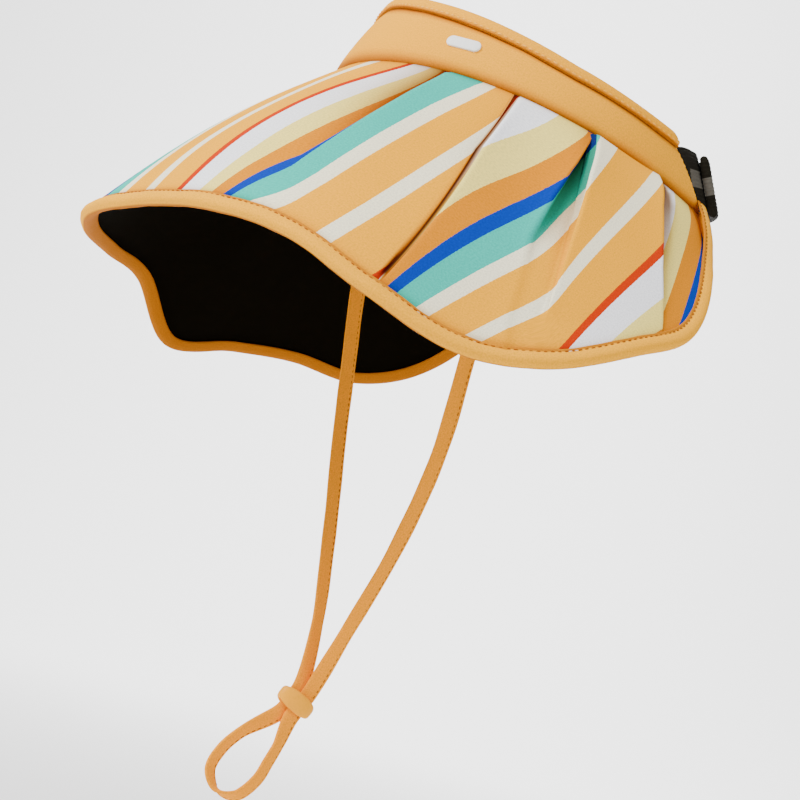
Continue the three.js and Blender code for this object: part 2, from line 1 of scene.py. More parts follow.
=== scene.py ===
# %% [markdown]
# # An open-top sun hat, from sewing pattern to render
# The hat has no crown. A padded headband, open behind, carries a wide pleated brim whose edge
# holds a wire under a bound tape. A stretch strap closes the band at the back of the head, and a
# flat chin strap runs down each side, through a sliding bead and round a loop.
# The lesson builds each piece the way it is sewn: first the surfaces that everything follows,
# then the pieces, then the stitches, then the finishes and the light.

# %% Load the frame
import math

import bpy
import numpy as np
from mathutils import Matrix, Vector


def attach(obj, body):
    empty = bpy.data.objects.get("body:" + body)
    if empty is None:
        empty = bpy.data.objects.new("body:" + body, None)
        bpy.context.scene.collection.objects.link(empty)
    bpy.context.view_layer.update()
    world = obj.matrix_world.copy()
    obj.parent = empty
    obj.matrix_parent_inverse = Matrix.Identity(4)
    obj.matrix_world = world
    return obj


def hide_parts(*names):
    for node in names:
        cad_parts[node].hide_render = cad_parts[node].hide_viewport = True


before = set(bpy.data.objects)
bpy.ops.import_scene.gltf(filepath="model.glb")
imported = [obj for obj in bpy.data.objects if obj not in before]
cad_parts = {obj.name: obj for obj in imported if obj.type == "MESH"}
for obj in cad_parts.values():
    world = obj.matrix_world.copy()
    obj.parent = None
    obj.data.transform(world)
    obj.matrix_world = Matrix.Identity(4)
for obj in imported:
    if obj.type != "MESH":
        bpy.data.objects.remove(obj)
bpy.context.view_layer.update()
print("frame nodes:", sorted(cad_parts))

# %% [markdown]
# ## The camera
# The hat is seen from its left front and from a little below, with the picture turned so that
# the front of the brim dips. A long lens keeps the perspective mild. The camera could be placed by
# eye, but a place worked out from an azimuth, an elevation and a distance is easier to correct.

# %% Camera
MM = 0.001
CAMERA_AZIMUTH = math.radians(69.0)
CAMERA_ELEVATION = math.radians(-7.2)
CAMERA_ROLL = math.radians(15.6)
CAMERA_DISTANCE = 850.0
CAMERA_AIM = Vector((0.0, -17.2, -125.3))
CAMERA_LENS = 82.35
CLIP_NEAR, CLIP_FAR = 0.01, 20.0      # metres


def make_camera():
    back = Vector((
        math.sin(CAMERA_AZIMUTH) * math.cos(CAMERA_ELEVATION),
        -math.cos(CAMERA_AZIMUTH) * math.cos(CAMERA_ELEVATION),
        math.sin(CAMERA_ELEVATION),
    ))
    level = Vector((math.cos(CAMERA_AZIMUTH), math.sin(CAMERA_AZIMUTH), 0.0))
    upright = back.cross(level)
    right = level * math.cos(CAMERA_ROLL) + upright * math.sin(CAMERA_ROLL)
    up = upright * math.cos(CAMERA_ROLL) - level * math.sin(CAMERA_ROLL)
    place = (CAMERA_AIM + back * CAMERA_DISTANCE) * MM
    camera = bpy.data.objects.new("camera", bpy.data.cameras.new("camera"))
    camera.matrix_world = Matrix((
        (right.x, up.x, back.x, place.x),
        (right.y, up.y, back.y, place.y),
        (right.z, up.z, back.z, place.z),
        (0.0, 0.0, 0.0, 1.0),
    ))
    camera.data.lens = CAMERA_LENS
    camera.data.clip_start = CLIP_NEAR
    camera.data.clip_end = CLIP_FAR
    bpy.context.scene.collection.objects.link(camera)
    bpy.context.scene.camera = camera
    return camera


print("camera at", [round(v, 3) for v in make_camera().matrix_world.translation])

# %% [markdown]
# ## Sizes
# All lengths are millimetres until a mesh is made. A place along the band is a share from -1, the
# wearer's right end, through 0 at the front, to 1 at the left end. The driving sizes are the ones
# that the solid model was made from, so that every soft piece lands on its solid.

# %% Band sizes
BAND_HALF_WIDTH = 85.5
BAND_HALF_LENGTH = 104.7
BAND_CENTRE_Y = 15.8
BAND_HALF_SWEEP = math.radians(123)
BAND_WAVE = 2.0
BAND_NOSE_UP = math.radians(9.2)
BAND_LEAN = math.radians(13)
BAND_FRONT_HEIGHT = 36.5
BAND_SIDE_HEIGHT = 20.0
BAND_TAPER = 0.6                 # place along the band where the tall front has come down
BAND_TAPER_POWER = 1.2
BAND_PEAK_ROUND = 0.05
BAND_THICKNESS = 3.0
BAND_END_SLANT = 0.125           # how much shorter the upper edge is than the lower one
ROLL_HEIGHT = 7.0
ROLL_SIDE_HEIGHT = 5.4
ROLL_END_HEIGHT = 3.4
ROLL_END_LENGTH = 0.03
ROLL_TAPER_FROM = 0.5
ROLL_SHOULDER = 0.9              # share of its round end where the roll keeps its end height
ROLL_END = 1 - BAND_END_SLANT
MEASURING_STEPS = 400
SMALL = 1e-6
print(f"band {2 * BAND_HALF_WIDTH:.0f} mm wide, {BAND_FRONT_HEIGHT + ROLL_HEIGHT:.1f} mm high")

# %% [markdown]
# ## The headband's surface
# Seen from above, the band's lower edge is an arc of an ellipse. Its wall leans in towards the
# top and is tallest over the forehead. One function turns a place along the band, a height and a
# distance outwards into a point, and every sewn line on the band is drawn with it.


# %% Band surface
def smoothstep(value, low, high):
    share = np.clip((value - low) / (high - low), 0, 1)
    return share * share * (3 - 2 * share)


def unit(vectors):
    return vectors / np.linalg.norm(vectors, axis=-1, keepdims=True)


def worn(points):
    """Lifts the front of level points, the way the hat is worn."""
    turned = np.array(points, float)
    y, z = turned[..., 1].copy(), turned[..., 2].copy()
    turned[..., 1] = y * math.cos(BAND_NOSE_UP) + z * math.sin(BAND_NOSE_UP)
    turned[..., 2] = z * math.cos(BAND_NOSE_UP) - y * math.sin(BAND_NOSE_UP)
    return turned


def band_point(along, up, out=0.0):
    """Points of the band at places along it, heights up its face and distances out of it."""
    along, up, out = np.broadcast_arrays(*(np.asarray(v, float) for v in (along, up, out)))
    angle = along * BAND_HALF_SWEEP
    rise = BAND_WAVE * np.sin(np.pi * np.clip(np.abs(along), 0, 1)) ** 2
    x, y = np.sin(angle), -np.cos(angle)
    normal = unit(np.stack([x / BAND_HALF_WIDTH, y / BAND_HALF_LENGTH], -1))
    shift = out * math.cos(BAND_LEAN) - up * math.sin(BAND_LEAN)
    return worn(np.stack([
        BAND_HALF_WIDTH * x + normal[..., 0] * shift,
        BAND_CENTRE_Y + BAND_HALF_LENGTH * y + normal[..., 1] * shift,
        rise + up * math.cos(BAND_LEAN) + out * math.sin(BAND_LEAN),
    ], -1))


def groove_height(along):
    """The height of the stitched groove, where the roll begins."""
    left = np.clip(1 - np.hypot(along, BAND_PEAK_ROUND) / BAND_TAPER, 0, None)
    return BAND_SIDE_HEIGHT + (BAND_FRONT_HEIGHT - BAND_SIDE_HEIGHT) * left ** BAND_TAPER_POWER


def roll_rise(along):
    """How high the roll stands over the groove. It closes in a round at each end."""
    taper = smoothstep(np.abs(along), ROLL_TAPER_FROM, ROLL_END)
    height = ROLL_HEIGHT + (ROLL_SIDE_HEIGHT - ROLL_HEIGHT) * taper
    past = np.clip((np.abs(along) - (ROLL_END - ROLL_END_LENGTH)) / ROLL_END_LENGTH, 0, 1)
    shoulder = ROLL_END_HEIGHT * smoothstep(past, 1.0, ROLL_SHOULDER)
    return np.maximum(shoulder, height * np.sqrt(1 - past ** 2))


def arc_lengths(points):
    """The length of a line up to each of its points."""
    steps = np.linalg.norm(np.diff(points, axis=0), axis=-1)
    return np.concatenate([[0.0], np.cumsum(steps)])


HALF_BAND = arc_lengths(band_point(np.linspace(0, 1, MEASURING_STEPS), 0))[-1]
print(f"band seam {2 * HALF_BAND:.0f} mm")

# %% [markdown]
# ## Mesh helpers
# Nearly every piece of this hat is a rectangle of cloth that has been bent, so a grid of points
# is the natural start. Two grids joined at their edges make a wall of cloth. A ring of points
# carried along a line makes a roll or a tape. Each mesh also keeps a UV map in millimetres, so
# that the weave has one scale on every piece and follows the cloth. An attribute named shade
# keeps painted shade: below 1 it darkens the colour in the folds and hollows where shadow falls.


# %% Mesh helpers
def new_piece(name, points, faces, uv, shade=1.0):
    """A mesh piece from points in millimetres, with its UV map and its painted shade."""
    mesh = bpy.data.meshes.new(name)
    mesh.from_pydata([tuple(p) for p in np.asarray(points) * MM], [], faces)
    layer = mesh.uv_layers.new(name="cloth")
    corner = np.zeros(len(mesh.loops), int)
    mesh.loops.foreach_get("vertex_index", corner)
    layer.data.foreach_set("uv", np.asarray(uv, float)[corner].ravel())
    shade_layer = mesh.attributes.new("shade", "FLOAT", "POINT")
    shade_layer.data.foreach_set("value", np.broadcast_to(shade, len(points)).astype(float))
    mesh.polygons.foreach_set("use_smooth", [True] * len(mesh.polygons))
    mesh.update()
    piece = bpy.data.objects.new(name, mesh)
    bpy.context.scene.collection.objects.link(piece)
    return piece


def grid_faces(rows, columns, offset=0, flip=False, wrap=False):
    """The faces of a grid of points. wrap joins each row's last point to its first."""
    faces = []
    for i in range(rows - 1):
        for j in range(columns if wrap else columns - 1):
            after = (j + 1) % columns
            a, b = offset + i * columns + j, offset + i * columns + after
            face = (a, b, b + columns, a + columns)
            faces.append(face[::-1] if flip else face)
    return faces


def wall_piece(name, outer, inner, uv, shade=None):
    """A wall between two grids, closed along its four edges."""
    rows, columns = outer.shape[:2]
    half = rows * columns
    faces = grid_faces(rows, columns, 0, True) + grid_faces(rows, columns, half)
    border = [(0, j) for j in range(columns)]
    border += [(i, columns - 1) for i in range(1, rows)]
    border += [(rows - 1, j) for j in range(columns - 2, -1, -1)]
    border += [(i, 0) for i in range(rows - 2, 0, -1)]
    ring = [i * columns + j for i, j in border]
    faces += [(a, b, b + half, a + half) for a, b in zip(ring, ring[1:] + ring[:1])]
    points = np.concatenate([outer.reshape(-1, 3), inner.reshape(-1, 3)])
    flat_uv = uv.reshape(-1, 2)
    both = 1.0 if shade is None else np.concatenate([shade.ravel(), shade.ravel()])
    return new_piece(name, points, faces, np.concatenate([flat_uv, flat_uv]), both)


def swept_piece(name, rings, uv, shade=None):
    """Closed rings of points joined along their line, with its two ends closed."""
    rows, columns = rings.shape[:2]
    faces = grid_faces(rows, columns, wrap=True)
    faces.append(tuple(range(columns))[::-1])
    faces.append(tuple((rows - 1) * columns + j for j in range(columns)))
    ring_shade = 1.0 if shade is None else np.broadcast_to(shade, rings.shape[:2]).ravel()
    return new_piece(name, rings.reshape(-1, 3), faces, uv.reshape(-1, 2), ring_shade)


def face_outward(piece):
    """Turns a closed mesh's faces over if it encloses a negative volume."""
    mesh = piece.data
    mesh.calc_loop_triangles()
    corners = np.array([mesh.vertices[i].co for t in mesh.loop_triangles for i in t.vertices])
    a, b, c = corners.reshape(-1, 3, 3).transpose(1, 0, 2)
    if np.einsum("ij,ij->", a, np.cross(b, c)) < 0:
        mesh.flip_normals()
    return piece


def grid_normals(points):
    """The direction out of a grid at each of its points."""
    return unit(np.cross(np.gradient(points, axis=0), np.gradient(points, axis=1)))


def cloth_uv(along, across):
    """A UV map from distances along and across a cloth, spread over a whole grid."""
    return np.stack(np.broadcast_arrays(along, across), -1)


print("faces of a grid of 4 rows and 5 columns:", len(grid_faces(4, 5)))

# %% [markdown]
# ## Soft noise and smooth lines
# Cloth is never quite even. A few sine waves with seeded directions add up to a noise that is
# smooth and comes out the same on each run. Lines through given points are centripetal curves,
# because those don't overshoot where points lie close together.

# %% Noise and lines
SLOWEST_WAVE, FASTEST_WAVE = 0.6, 1.5
NOISE_WAVES = 7
CURVE_STEPS = 60
CLOSENESS = 0.25


def soft_noise(u, v, seed):
    """Smooth noise between about -1 and 1, from a few seeded waves of about one radian."""
    generator = np.random.default_rng(seed)
    total = 0.0
    for _ in range(NOISE_WAVES):
        turn, size, phase = generator.uniform([0, SLOWEST_WAVE, 0],
                                              [np.pi, FASTEST_WAVE, 2 * np.pi])
        total = total + np.sin(size * (u * math.cos(turn) + v * math.sin(turn)) + phase)
    return total / math.sqrt(NOISE_WAVES)


def at_spots(spots, known, values):
    """Columns of values, each read at spots between the known ones."""
    return np.stack([np.interp(spots, known, column) for column in values.T], -1)


def through_points(points, count):
    """A centripetal curve through points, as count evenly spaced points of it."""
    points = np.asarray(points, float)
    ends = [2 * points[0] - points[1], 2 * points[-1] - points[-2]]
    guide = np.concatenate([ends[:1], points, ends[1:]])
    dense = []
    for p0, p1, p2, p3 in zip(guide, guide[1:], guide[2:], guide[3:]):
        d0, d1, d2 = (max(((b - a) @ (b - a)) ** CLOSENESS, SMALL)
                      for a, b in ((p0, p1), (p1, p2), (p2, p3)))
        m1 = ((p1 - p0) / d0 - (p2 - p0) / (d0 + d1) + (p2 - p1) / d1) * d1
        m2 = ((p2 - p1) / d1 - (p3 - p1) / (d1 + d2) + (p3 - p2) / d2) * d1
        t = np.linspace(0, 1, CURVE_STEPS, endpoint=False)[:, None]
        dense.append(p1 + m1 * t + (3 * (p2 - p1) - 2 * m1 - m2) * t ** 2
                     + (2 * (p1 - p2) + m1 + m2) * t ** 3)
    dense = np.concatenate([*dense, points[-1:]])
    length = arc_lengths(dense)
    return at_spots(np.linspace(0, length[-1], count), length, dense)


print("noise at one place:", round(float(soft_noise(0.0, 0.0, seed=1)), 3))

# %% [markdown]
# ## The chin strap's route
# The strap is one flat tape. It is sewn to the inside of the band on the wearer's left, hangs
# down, passes the bead, makes a loop for pulling, passes the bead again and climbs to the right
# side. A cloth tape this narrow is limp, so it hangs in near-straight lines with soft bends. Its
# real length is measured along the route.

# %% Chin strap route
TAPE_THICKNESS = 1.6
TAPE_TOP_UP = 14.0
TAPE_LEAVES_UP = 1.0
TAPE_AT = 0.52
TAPE_LOOSE = 0.2
ANCHOR_STEP = 0.01
PIECE_GAP = 0.4

# Each row is a point of the tape's middle line, and then the direction across the tape. The
# loop keeps one direction throughout.
LEFT_STRAND = [
    [67.5, -22.5, -30, 0.1, 1, 0],
    [57.5, -15, -70, 0, 1, 0],
    [46.5, -9.5, -108, 0, 1, 0],
    [34, -5.5, -150, 0, 1, 0],
    [21.5, -8.5, -195, -0.1, 1, 0],
    [11.5, -16, -234, -0.25, 0.95, -0.15],
]
RIGHT_STRAND = [
    [-67, -31.5, -30, -0.05, 1, 0],
    [-56, -33, -70, 0, 1, 0],
    [-45.5, -31, -108, 0, 1, 0],
    [-33.5, -28.5, -150, -0.1, 1, 0],
    [-20.5, -25, -195, -0.22, 1, 0],
    [-9.5, -23.5, -234, -0.45, 0.9, -0.1],
]
LOOP_POINTS = [
    [0, -29, -291.5],
    [0, -31.5, -300],
    [0, -34.5, -309],
    [0, -42, -317.5],
    [0, -51.5, -317],
    [0, -57, -309],
    [0, -54.5, -299.5],
    [0, -47.5, -290],
]
LOOP_ACROSS = [-0.55, 0.78, -0.3]
print("points given for the strap:", len(LEFT_STRAND + RIGHT_STRAND + LOOP_POINTS))

# %% [markdown]
# ## Where the bead sits
# Both strands pass through the bead, one over the other and a little staggered. The bead is
# tilted with them, so its three directions are worked out here, before the route is drawn.

# %% Bead sizes and place
BEAD_LENGTH = 18.5
BEAD_HEIGHT = 9.0
BEAD_DEPTH = 9.0
BEAD_CENTRE = np.array([0, -26.6, -271.3])
BEAD_TILT = math.radians(24)
BEAD_SLOT_LENGTH = 13.5
BEAD_SLOT_DEPTH = 4.4
STRAND_STAGGER = 2.4
STRAND_STACK = 1.1
BEAD_RUN = 7.0
BEAD_LONG = np.array([0, math.cos(BEAD_TILT), -math.sin(BEAD_TILT)])
BEAD_DOWN = np.array([0, -math.sin(BEAD_TILT), -math.cos(BEAD_TILT)])
BEAD_FACING = np.array([1.0, 0, 0])
print("the bead points down along", BEAD_DOWN.round(2))


# %% Drawing the route
def tape_route():
    """Stops of the tape's middle line, each with the direction across the tape."""
    inset = -(BAND_THICKNESS + PIECE_GAP + TAPE_THICKNESS / 2 + TAPE_LOOSE)

    def anchor(side):
        stops = []
        for up in (TAPE_TOP_UP, TAPE_TOP_UP / 2, TAPE_LEAVES_UP):
            place = side * TAPE_AT
            ends = band_point([place - side * ANCHOR_STEP, place + side * ANCHOR_STEP], up)
            stops.append([*band_point(place, up, inset), *(ends[1] - ends[0])])
        return stops

    def in_bead(side):
        middle = BEAD_CENTRE + side * (BEAD_LONG * STRAND_STAGGER + BEAD_FACING * STRAND_STACK)
        return [[*(middle + BEAD_DOWN * down), *BEAD_LONG] for down in (-BEAD_RUN, 0, BEAD_RUN)]

    return np.array([
        *anchor(1), *LEFT_STRAND, *in_bead(1),
        *([*point, *LOOP_ACROSS] for point in LOOP_POINTS),
        *in_bead(-1)[::-1], *RIGHT_STRAND[::-1], *anchor(-1)[::-1],
    ], float)


def tape_frames(route, count):
    """Even points of a tape's middle line, with unit directions across and out of it."""
    centre = through_points(route[:, :3], count)
    even = arc_lengths(centre)
    spots = np.array([even[np.argmin(((centre - p) ** 2).sum(1))] for p in route[:, :3]])
    spots = np.maximum.accumulate(spots + np.arange(len(route)) * SMALL)
    along = unit(np.gradient(centre, axis=0))
    across = at_spots(even, spots, unit(route[:, 3:]))
    across = unit(across - (across * along).sum(1, keepdims=True) * along)
    return centre, across, np.cross(along, across)


TAPE_STATIONS = 620
tape_centre, tape_across, tape_out = tape_frames(tape_route(), TAPE_STATIONS)

# %% [markdown]
# ## The chin strap
# The tape is a strip of cloth folded in three and sewn along one edge. Its section is nearly a
# rectangle with soft corners, a slight crown, and a dip where the stitches pull it in. The
# section is carried along the route, turned by the direction across the tape.

# %% Chin strap
TAPE_SECTION = [
    # distance across the tape, height above its middle line
    (3.8, -0.25), (3.8, 0.3), (3.55, 0.66), (3.0, 0.74), (2.55, 0.6), (2.1, 0.74), (0.8, 0.86),
    (-0.8, 0.86), (-2.4, 0.8), (-3.4, 0.68), (-3.75, 0.34), (-3.8, -0.2), (-3.5, -0.66),
    (-2.4, -0.78), (-0.8, -0.82), (0.8, -0.82), (2.2, -0.7), (2.55, -0.56), (3.0, -0.7),
    (3.55, -0.62),
]
TAPE_STITCH_ACROSS = 2.55
TAPE_RIPPLE = 0.16
RIPPLE_LENGTH = 9.0
EDGE_RIPPLE_LENGTH = 4.0
EDGE_RIPPLE_WIDTH = 6.0


def make_chin_strap():
    section = np.array(TAPE_SECTION)
    length = arc_lengths(tape_centre)
    ripple = TAPE_RIPPLE * soft_noise(length / RIPPLE_LENGTH, 0.0, seed=11)
    edge = TAPE_RIPPLE * soft_noise(length / EDGE_RIPPLE_LENGTH, 3.0, seed=12)
    across = section[:, 0] + edge[:, None] * section[:, 0] / EDGE_RIPPLE_WIDTH
    rings = (
        tape_centre[:, None]
        + tape_across[:, None] * across[..., None]
        + tape_out[:, None] * (section[:, 1] + ripple[:, None])[..., None]
    )
    uv = cloth_uv(length[:, None], section[:, 0])
    return face_outward(swept_piece("chin_strap_tape", rings, uv))


chin_strap = make_chin_strap()
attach(chin_strap, "root")
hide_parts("chin_strap")
print("chin strap faces:", len(chin_strap.data.polygons))

# %% [markdown]
# ## The sliding bead
# The bead is moulded: a bean with a flat slot along its length, wide enough for two layers of
# tape. A cut-out made with a boolean leaves a hard rim, so the bead is drawn as a ring instead. A
# closed loop runs round the slot, and at each angle a soft section joins the slot to the outside.


# %% Sliding bead
BEAD_STEPS_AROUND = 96
BEAD_STEPS_ACROSS = 28
SLOT_POWER, OUTLINE_POWER, SECTION_POWER = 0.6, 0.9, 0.75
BEAD_END_POWER = 2.6             # the higher, the blunter the bead's two ends


def superellipse(angle, half_u, half_w, power):
    """A closed curve: an ellipse at the power 1, and nearly a rectangle at a power close to 0."""
    c, s = np.cos(angle), np.sin(angle)
    return np.stack([
        half_u * np.sign(c) * np.abs(c) ** power,
        half_w * np.sign(s) * np.abs(s) ** power,
    ], -1)


def make_bead():
    around = np.linspace(0, 2 * np.pi, BEAD_STEPS_AROUND, endpoint=False)
    inner = superellipse(around, BEAD_SLOT_LENGTH / 2, BEAD_SLOT_DEPTH / 2, SLOT_POWER)
    outer = superellipse(around, BEAD_LENGTH / 2, BEAD_DEPTH / 2, OUTLINE_POWER)
    middle = (inner + outer) / 2
    share = np.abs(middle[:, 0]) / (BEAD_LENGTH / 2)
    half_height = BEAD_HEIGHT / 2 * (1 - share ** BEAD_END_POWER) ** (1 / BEAD_END_POWER)
    turn = np.linspace(0, 2 * np.pi, BEAD_STEPS_ACROSS, endpoint=False)
    profile = superellipse(turn, 1.0, 1.0, SECTION_POWER)
    spread = (outer - inner) / 2
    flat = middle[:, None] + spread[:, None] * profile[None, :, :1]
    height = half_height[:, None] * profile[None, :, 1]
    rings = (
        BEAD_CENTRE
        + BEAD_LONG * flat[..., :1]
        + BEAD_FACING * flat[..., 1:]
        + BEAD_DOWN * height[..., None]
    )
    closed = np.concatenate([rings, rings[:1]])
    rows, columns = closed.shape[:2]
    faces = []
    for a, b, c, d in grid_faces(rows, columns, wrap=True):
        faces.append(tuple(i % ((rows - 1) * columns) for i in (a, b, c, d)))
    uv = np.stack([flat[..., 0], height], -1).reshape(-1, 2)
    return face_outward(new_piece("sliding_bead_bean", rings.reshape(-1, 3), faces, uv))


bead = make_bead()
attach(bead, "root")
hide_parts("sliding_bead")
print("bead faces:", len(bead.data.polygons))

# %% [markdown]
# ## The headband
# The band is two layers of cloth over foam. The foam swells the face between the brim seam and
# the stitched groove, the lower edge turns under in a soft round, and the cloth puckers a little
# where it is sewn. The section is written as shares of the height, so that one table serves the
# tall front and the low sides. Towards the ends the upper stops are pulled in, because the ends
# are cut on a slant.

# %% Headband
BAND_SECTION = [
    # share of the height, distance out of the face
    (0.0, -2.6), (-0.012, -1.9), (-0.02, -1.1), (-0.012, -0.35), (0.012, 0.1), (0.05, 0.42),
    (0.11, 0.7), (0.2, 0.92), (0.34, 1.05), (0.5, 1.05), (0.64, 0.95), (0.76, 0.72),
    (0.86, 0.42), (0.93, 0.12), (0.975, -0.2), (1.0, -0.45), (1.05, -0.6), (1.09, -1.0),
    (1.09, -2.2), (1.05, -2.7), (0.9, -3.0), (0.6, -3.0), (0.3, -3.0), (0.08, -3.0),
]
BAND_STATIONS = 340
STOPS_CROWD = 1.35               # the nearer to a quarter turn, the closer the end stops are
PUCKER_PITCH = 7.0
PUCKER_HEIGHT = 0.2
PUCKER_FADE = 9
SWELL_HEIGHT = 0.28
SWELL_LENGTH = 28.0
SWELL_WAVES_UP = 2.2
OUTSIDE_FROM = -0.5
END_ROUND = 0.9
END_ROUND_FROM = 0.985
# Painted shadow under the roll and painted shade along the brim's seam: how dark, at which share of
# the height, how wide
ROLL_SHADOW = (0.85, 0.975, 0.05)
SEAM_SHADOW = (0.66, -0.02, 0.13)


def band_stops():
    """Places along the band, closer together at the two ends so that the corners stay crisp."""
    return np.sin(np.linspace(-1, 1, BAND_STATIONS) * STOPS_CROWD) / math.sin(STOPS_CROWD)


def make_band():
    section = np.array(BAND_SECTION)
    column = band_stops()[:, None]
    share = section[None, :, 0]
    along = column * (1 - BAND_END_SLANT * np.clip(share, 0, 1))
    up = share * groove_height(column * ROLL_END)
    length = along * HALF_BAND
    near_seam = np.exp(-np.abs(share) * PUCKER_FADE) + np.exp(-np.abs(1 - share) * PUCKER_FADE)
    puckers = soft_noise(length * 2 / PUCKER_PITCH, share * 2, seed=21)
    pucker = PUCKER_HEIGHT * near_seam * puckers
    swell = SWELL_HEIGHT * soft_noise(length / SWELL_LENGTH, share * SWELL_WAVES_UP, seed=22)
    outside = np.where(section[None, :, 1] > OUTSIDE_FROM, 1.0, 0.0)
    end_round = END_ROUND * smoothstep(np.abs(column), END_ROUND_FROM, 1.0) ** 2
    out = section[None, :, 1] + outside * (pucker + swell - end_round)
    rings = band_point(along, up, out)
    uv = cloth_uv(length, up)
    # Painted shade: the colour is darker under the roll, where its shadow falls, and at the lower
    # edge, which turns under away from the light
    dark, place, width = ROLL_SHADOW
    under_roll = dark * np.exp(-((share - place) / width) ** 2)
    dark, place, width = SEAM_SHADOW
    at_seam = dark * np.exp(-(np.clip(share - place, 0, None) / width) ** 2)
    shade = (1 - under_roll) * (1 - at_seam) + 0 * along
    return face_outward(swept_piece("headband", rings, uv, shade))


band = make_band()
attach(band, "root")
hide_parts("band_panel")
print("headband faces:", len(band.data.polygons))

# %% [markdown]
# ## The top roll
# Above the groove the cloth is folded over and left soft, like piping. It hides the top of the
# band. Its section is a rounded roll whose outer side bulges over the stitches. Small dents at
# the pitch of the stitches would be lost in a material, so they are in the mesh.

# %% Top roll
ROLL_SECTION = [
    # distance out of the face, share of the roll's height
    (0.2, 0.0), (1.0, -0.02), (1.55, 0.07), (1.85, 0.2), (2.0, 0.36), (1.95, 0.54), (1.65, 0.72),
    (1.05, 0.87), (0.2, 0.965), (-0.9, 1.0), (-2.2, 1.0), (-3.2, 0.965), (-4.0, 0.87),
    (-4.6, 0.72), (-4.95, 0.52), (-5.0, 0.32), (-4.8, 0.12), (-4.5, 0.0), (-3.8, -0.03),
    (-3.0, 0.02),
]
STITCH_PITCH = 3.1
# The dents that the stitches make: how deep, at which share of the roll's height, how wide
DENTS = (0.16, 0.12, 0.16)
ROLL_WAVE = 0.2
ROLL_WAVE_LENGTH = 12.0
ROLL_MIDDLE = -1.5
THINNEST_ROLL = 0.3
# The painted shadow in the groove under the roll: how dark, up to which share of the roll's height,
# how wide it fades
GROOVE_SHADOW = (0.6, -0.02, 0.07)


def make_roll():
    section = np.array(ROLL_SECTION)
    column = band_stops()[:, None]
    along = column * ROLL_END
    rise = roll_rise(along)
    length = along * HALF_BAND
    depth, place, width = DENTS
    low = np.exp(-((section[None, :, 1] - place) / width) ** 2) * (section[None, :, 0] > 0)
    dents = -depth * low * np.cos(2 * np.pi * length / STITCH_PITCH)
    soft = ROLL_WAVE * soft_noise(length / ROLL_WAVE_LENGTH, section[None, :, 1] * 2, seed=31)
    squeeze = np.sqrt(np.clip(rise / ROLL_SIDE_HEIGHT, THINNEST_ROLL, 1))
    out = ROLL_MIDDLE + (section[None, :, 0] - ROLL_MIDDLE) * squeeze + (dents + soft) * squeeze
    up = groove_height(along) + section[None, :, 1] * rise
    rings = band_point(np.broadcast_to(along, out.shape), up, out)
    uv = cloth_uv(length, up + section[None, :, 0])
    # Painted shadow: the colour is darker low on the roll, in the groove
    dark, place, width = GROOVE_SHADOW
    above = np.clip(section[None, :, 1] - place, 0, None)
    shade = 1 - dark * np.exp(-above / width) + 0 * along
    return face_outward(swept_piece("top_roll_piping", rings, uv, shade))


roll = make_roll()
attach(roll, "root")
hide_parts("top_roll")
print("roll faces:", len(roll.data.polygons))

# %% [markdown]
# ## The badge
# A small raised oblong of white print sits on the front left of the band. It is left plain. Its
# grid follows the band's face and its rim is rounded over, so it catches light like soft plastic.

# %% Badge
BADGE_AT = 0.354
BADGE_UP = 14.7
BADGE_LENGTH = 17.0
BADGE_WIDTH = 5.6
BADGE_THICKNESS = 0.9
BADGE_BASE = 1.25
BADGE_STEPS = 72
BADGE_RINGS = [
    # distance in from the outline, share of the badge's thickness
    (0.0, -0.5), (0.0, 0.55), (0.12, 0.8), (0.4, 0.9), (1.2, 0.96), (2.4, 1.0),
]
BADGE_SHORTENING = 0.06


def make_badge():
    around = np.linspace(0, 2 * np.pi, BADGE_STEPS, endpoint=False)
    straight = (BADGE_LENGTH - BADGE_WIDTH) / 2 * np.sign(np.cos(around))
    round_ends = np.stack([np.cos(around), np.sin(around)], -1) * BADGE_WIDTH / 2
    rings, heights = [], []
    for inset, height in BADGE_RINGS:
        ring = round_ends * (1 - inset / (BADGE_WIDTH / 2))
        ring[:, 0] += straight * (1 - inset * BADGE_SHORTENING)
        rings.append(ring)
        heights.append(height * BADGE_THICKNESS)
    flat = np.array(rings)
    out = BADGE_BASE + np.array(heights)[:, None]
    points = band_point(BADGE_AT + flat[..., 0] / HALF_BAND, BADGE_UP + flat[..., 1], out)
    return face_outward(swept_piece("band_badge_oblong", points, flat))


badge = make_badge()
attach(badge, "root")
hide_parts("band_badge")
print("badge faces:", len(badge.data.polygons))

# %% [markdown]
# ## The brim's smooth surface
# A wire in the edge gives the brim its shape, so the edge is drawn first, as a curve through one
# row for each bend of the wire. The two sides differ a little, as bent wire does. Between the
# seam and the edge the cloth is almost straight, with a slight swell.

# %% Brim sizes
RIM_ROWS = [
    # azimuth from the front, left reach, left height, right reach, right height
    (0, 182, -89, 182, -89), (15, 178, -87, 179, -90), (30, 176.5, -87, 176.5, -89),
    (43, 174, -93, 174, -92), (56, 171, -109, 175, -116), (69, 166.5, -121, 167, -107),
    (82, 164, -116, 164, -101), (95, 159, -99, 159, -102), (107, 150, -82, 149, -89),
    (118, 131, -51, 133, -62), (130.6, 106, -20, 106, -21),
]
BRIM_BULGE = 5.0
BULGE_DEPTH = 140.0
BRIM_END = 0.98
BRIM_SET_IN = 0.6
BINDING_WIDTH = 7.4
BINDING_MARGIN = 1.0             # beside the binding, where the cloth is flat already
LEAST_FLAT_FROM = 0.1
LIFT_TURN = 0.12
NORMAL_STEP = 0.002
print("bends in the edge wire:", len(RIM_ROWS) * 2 - 1)


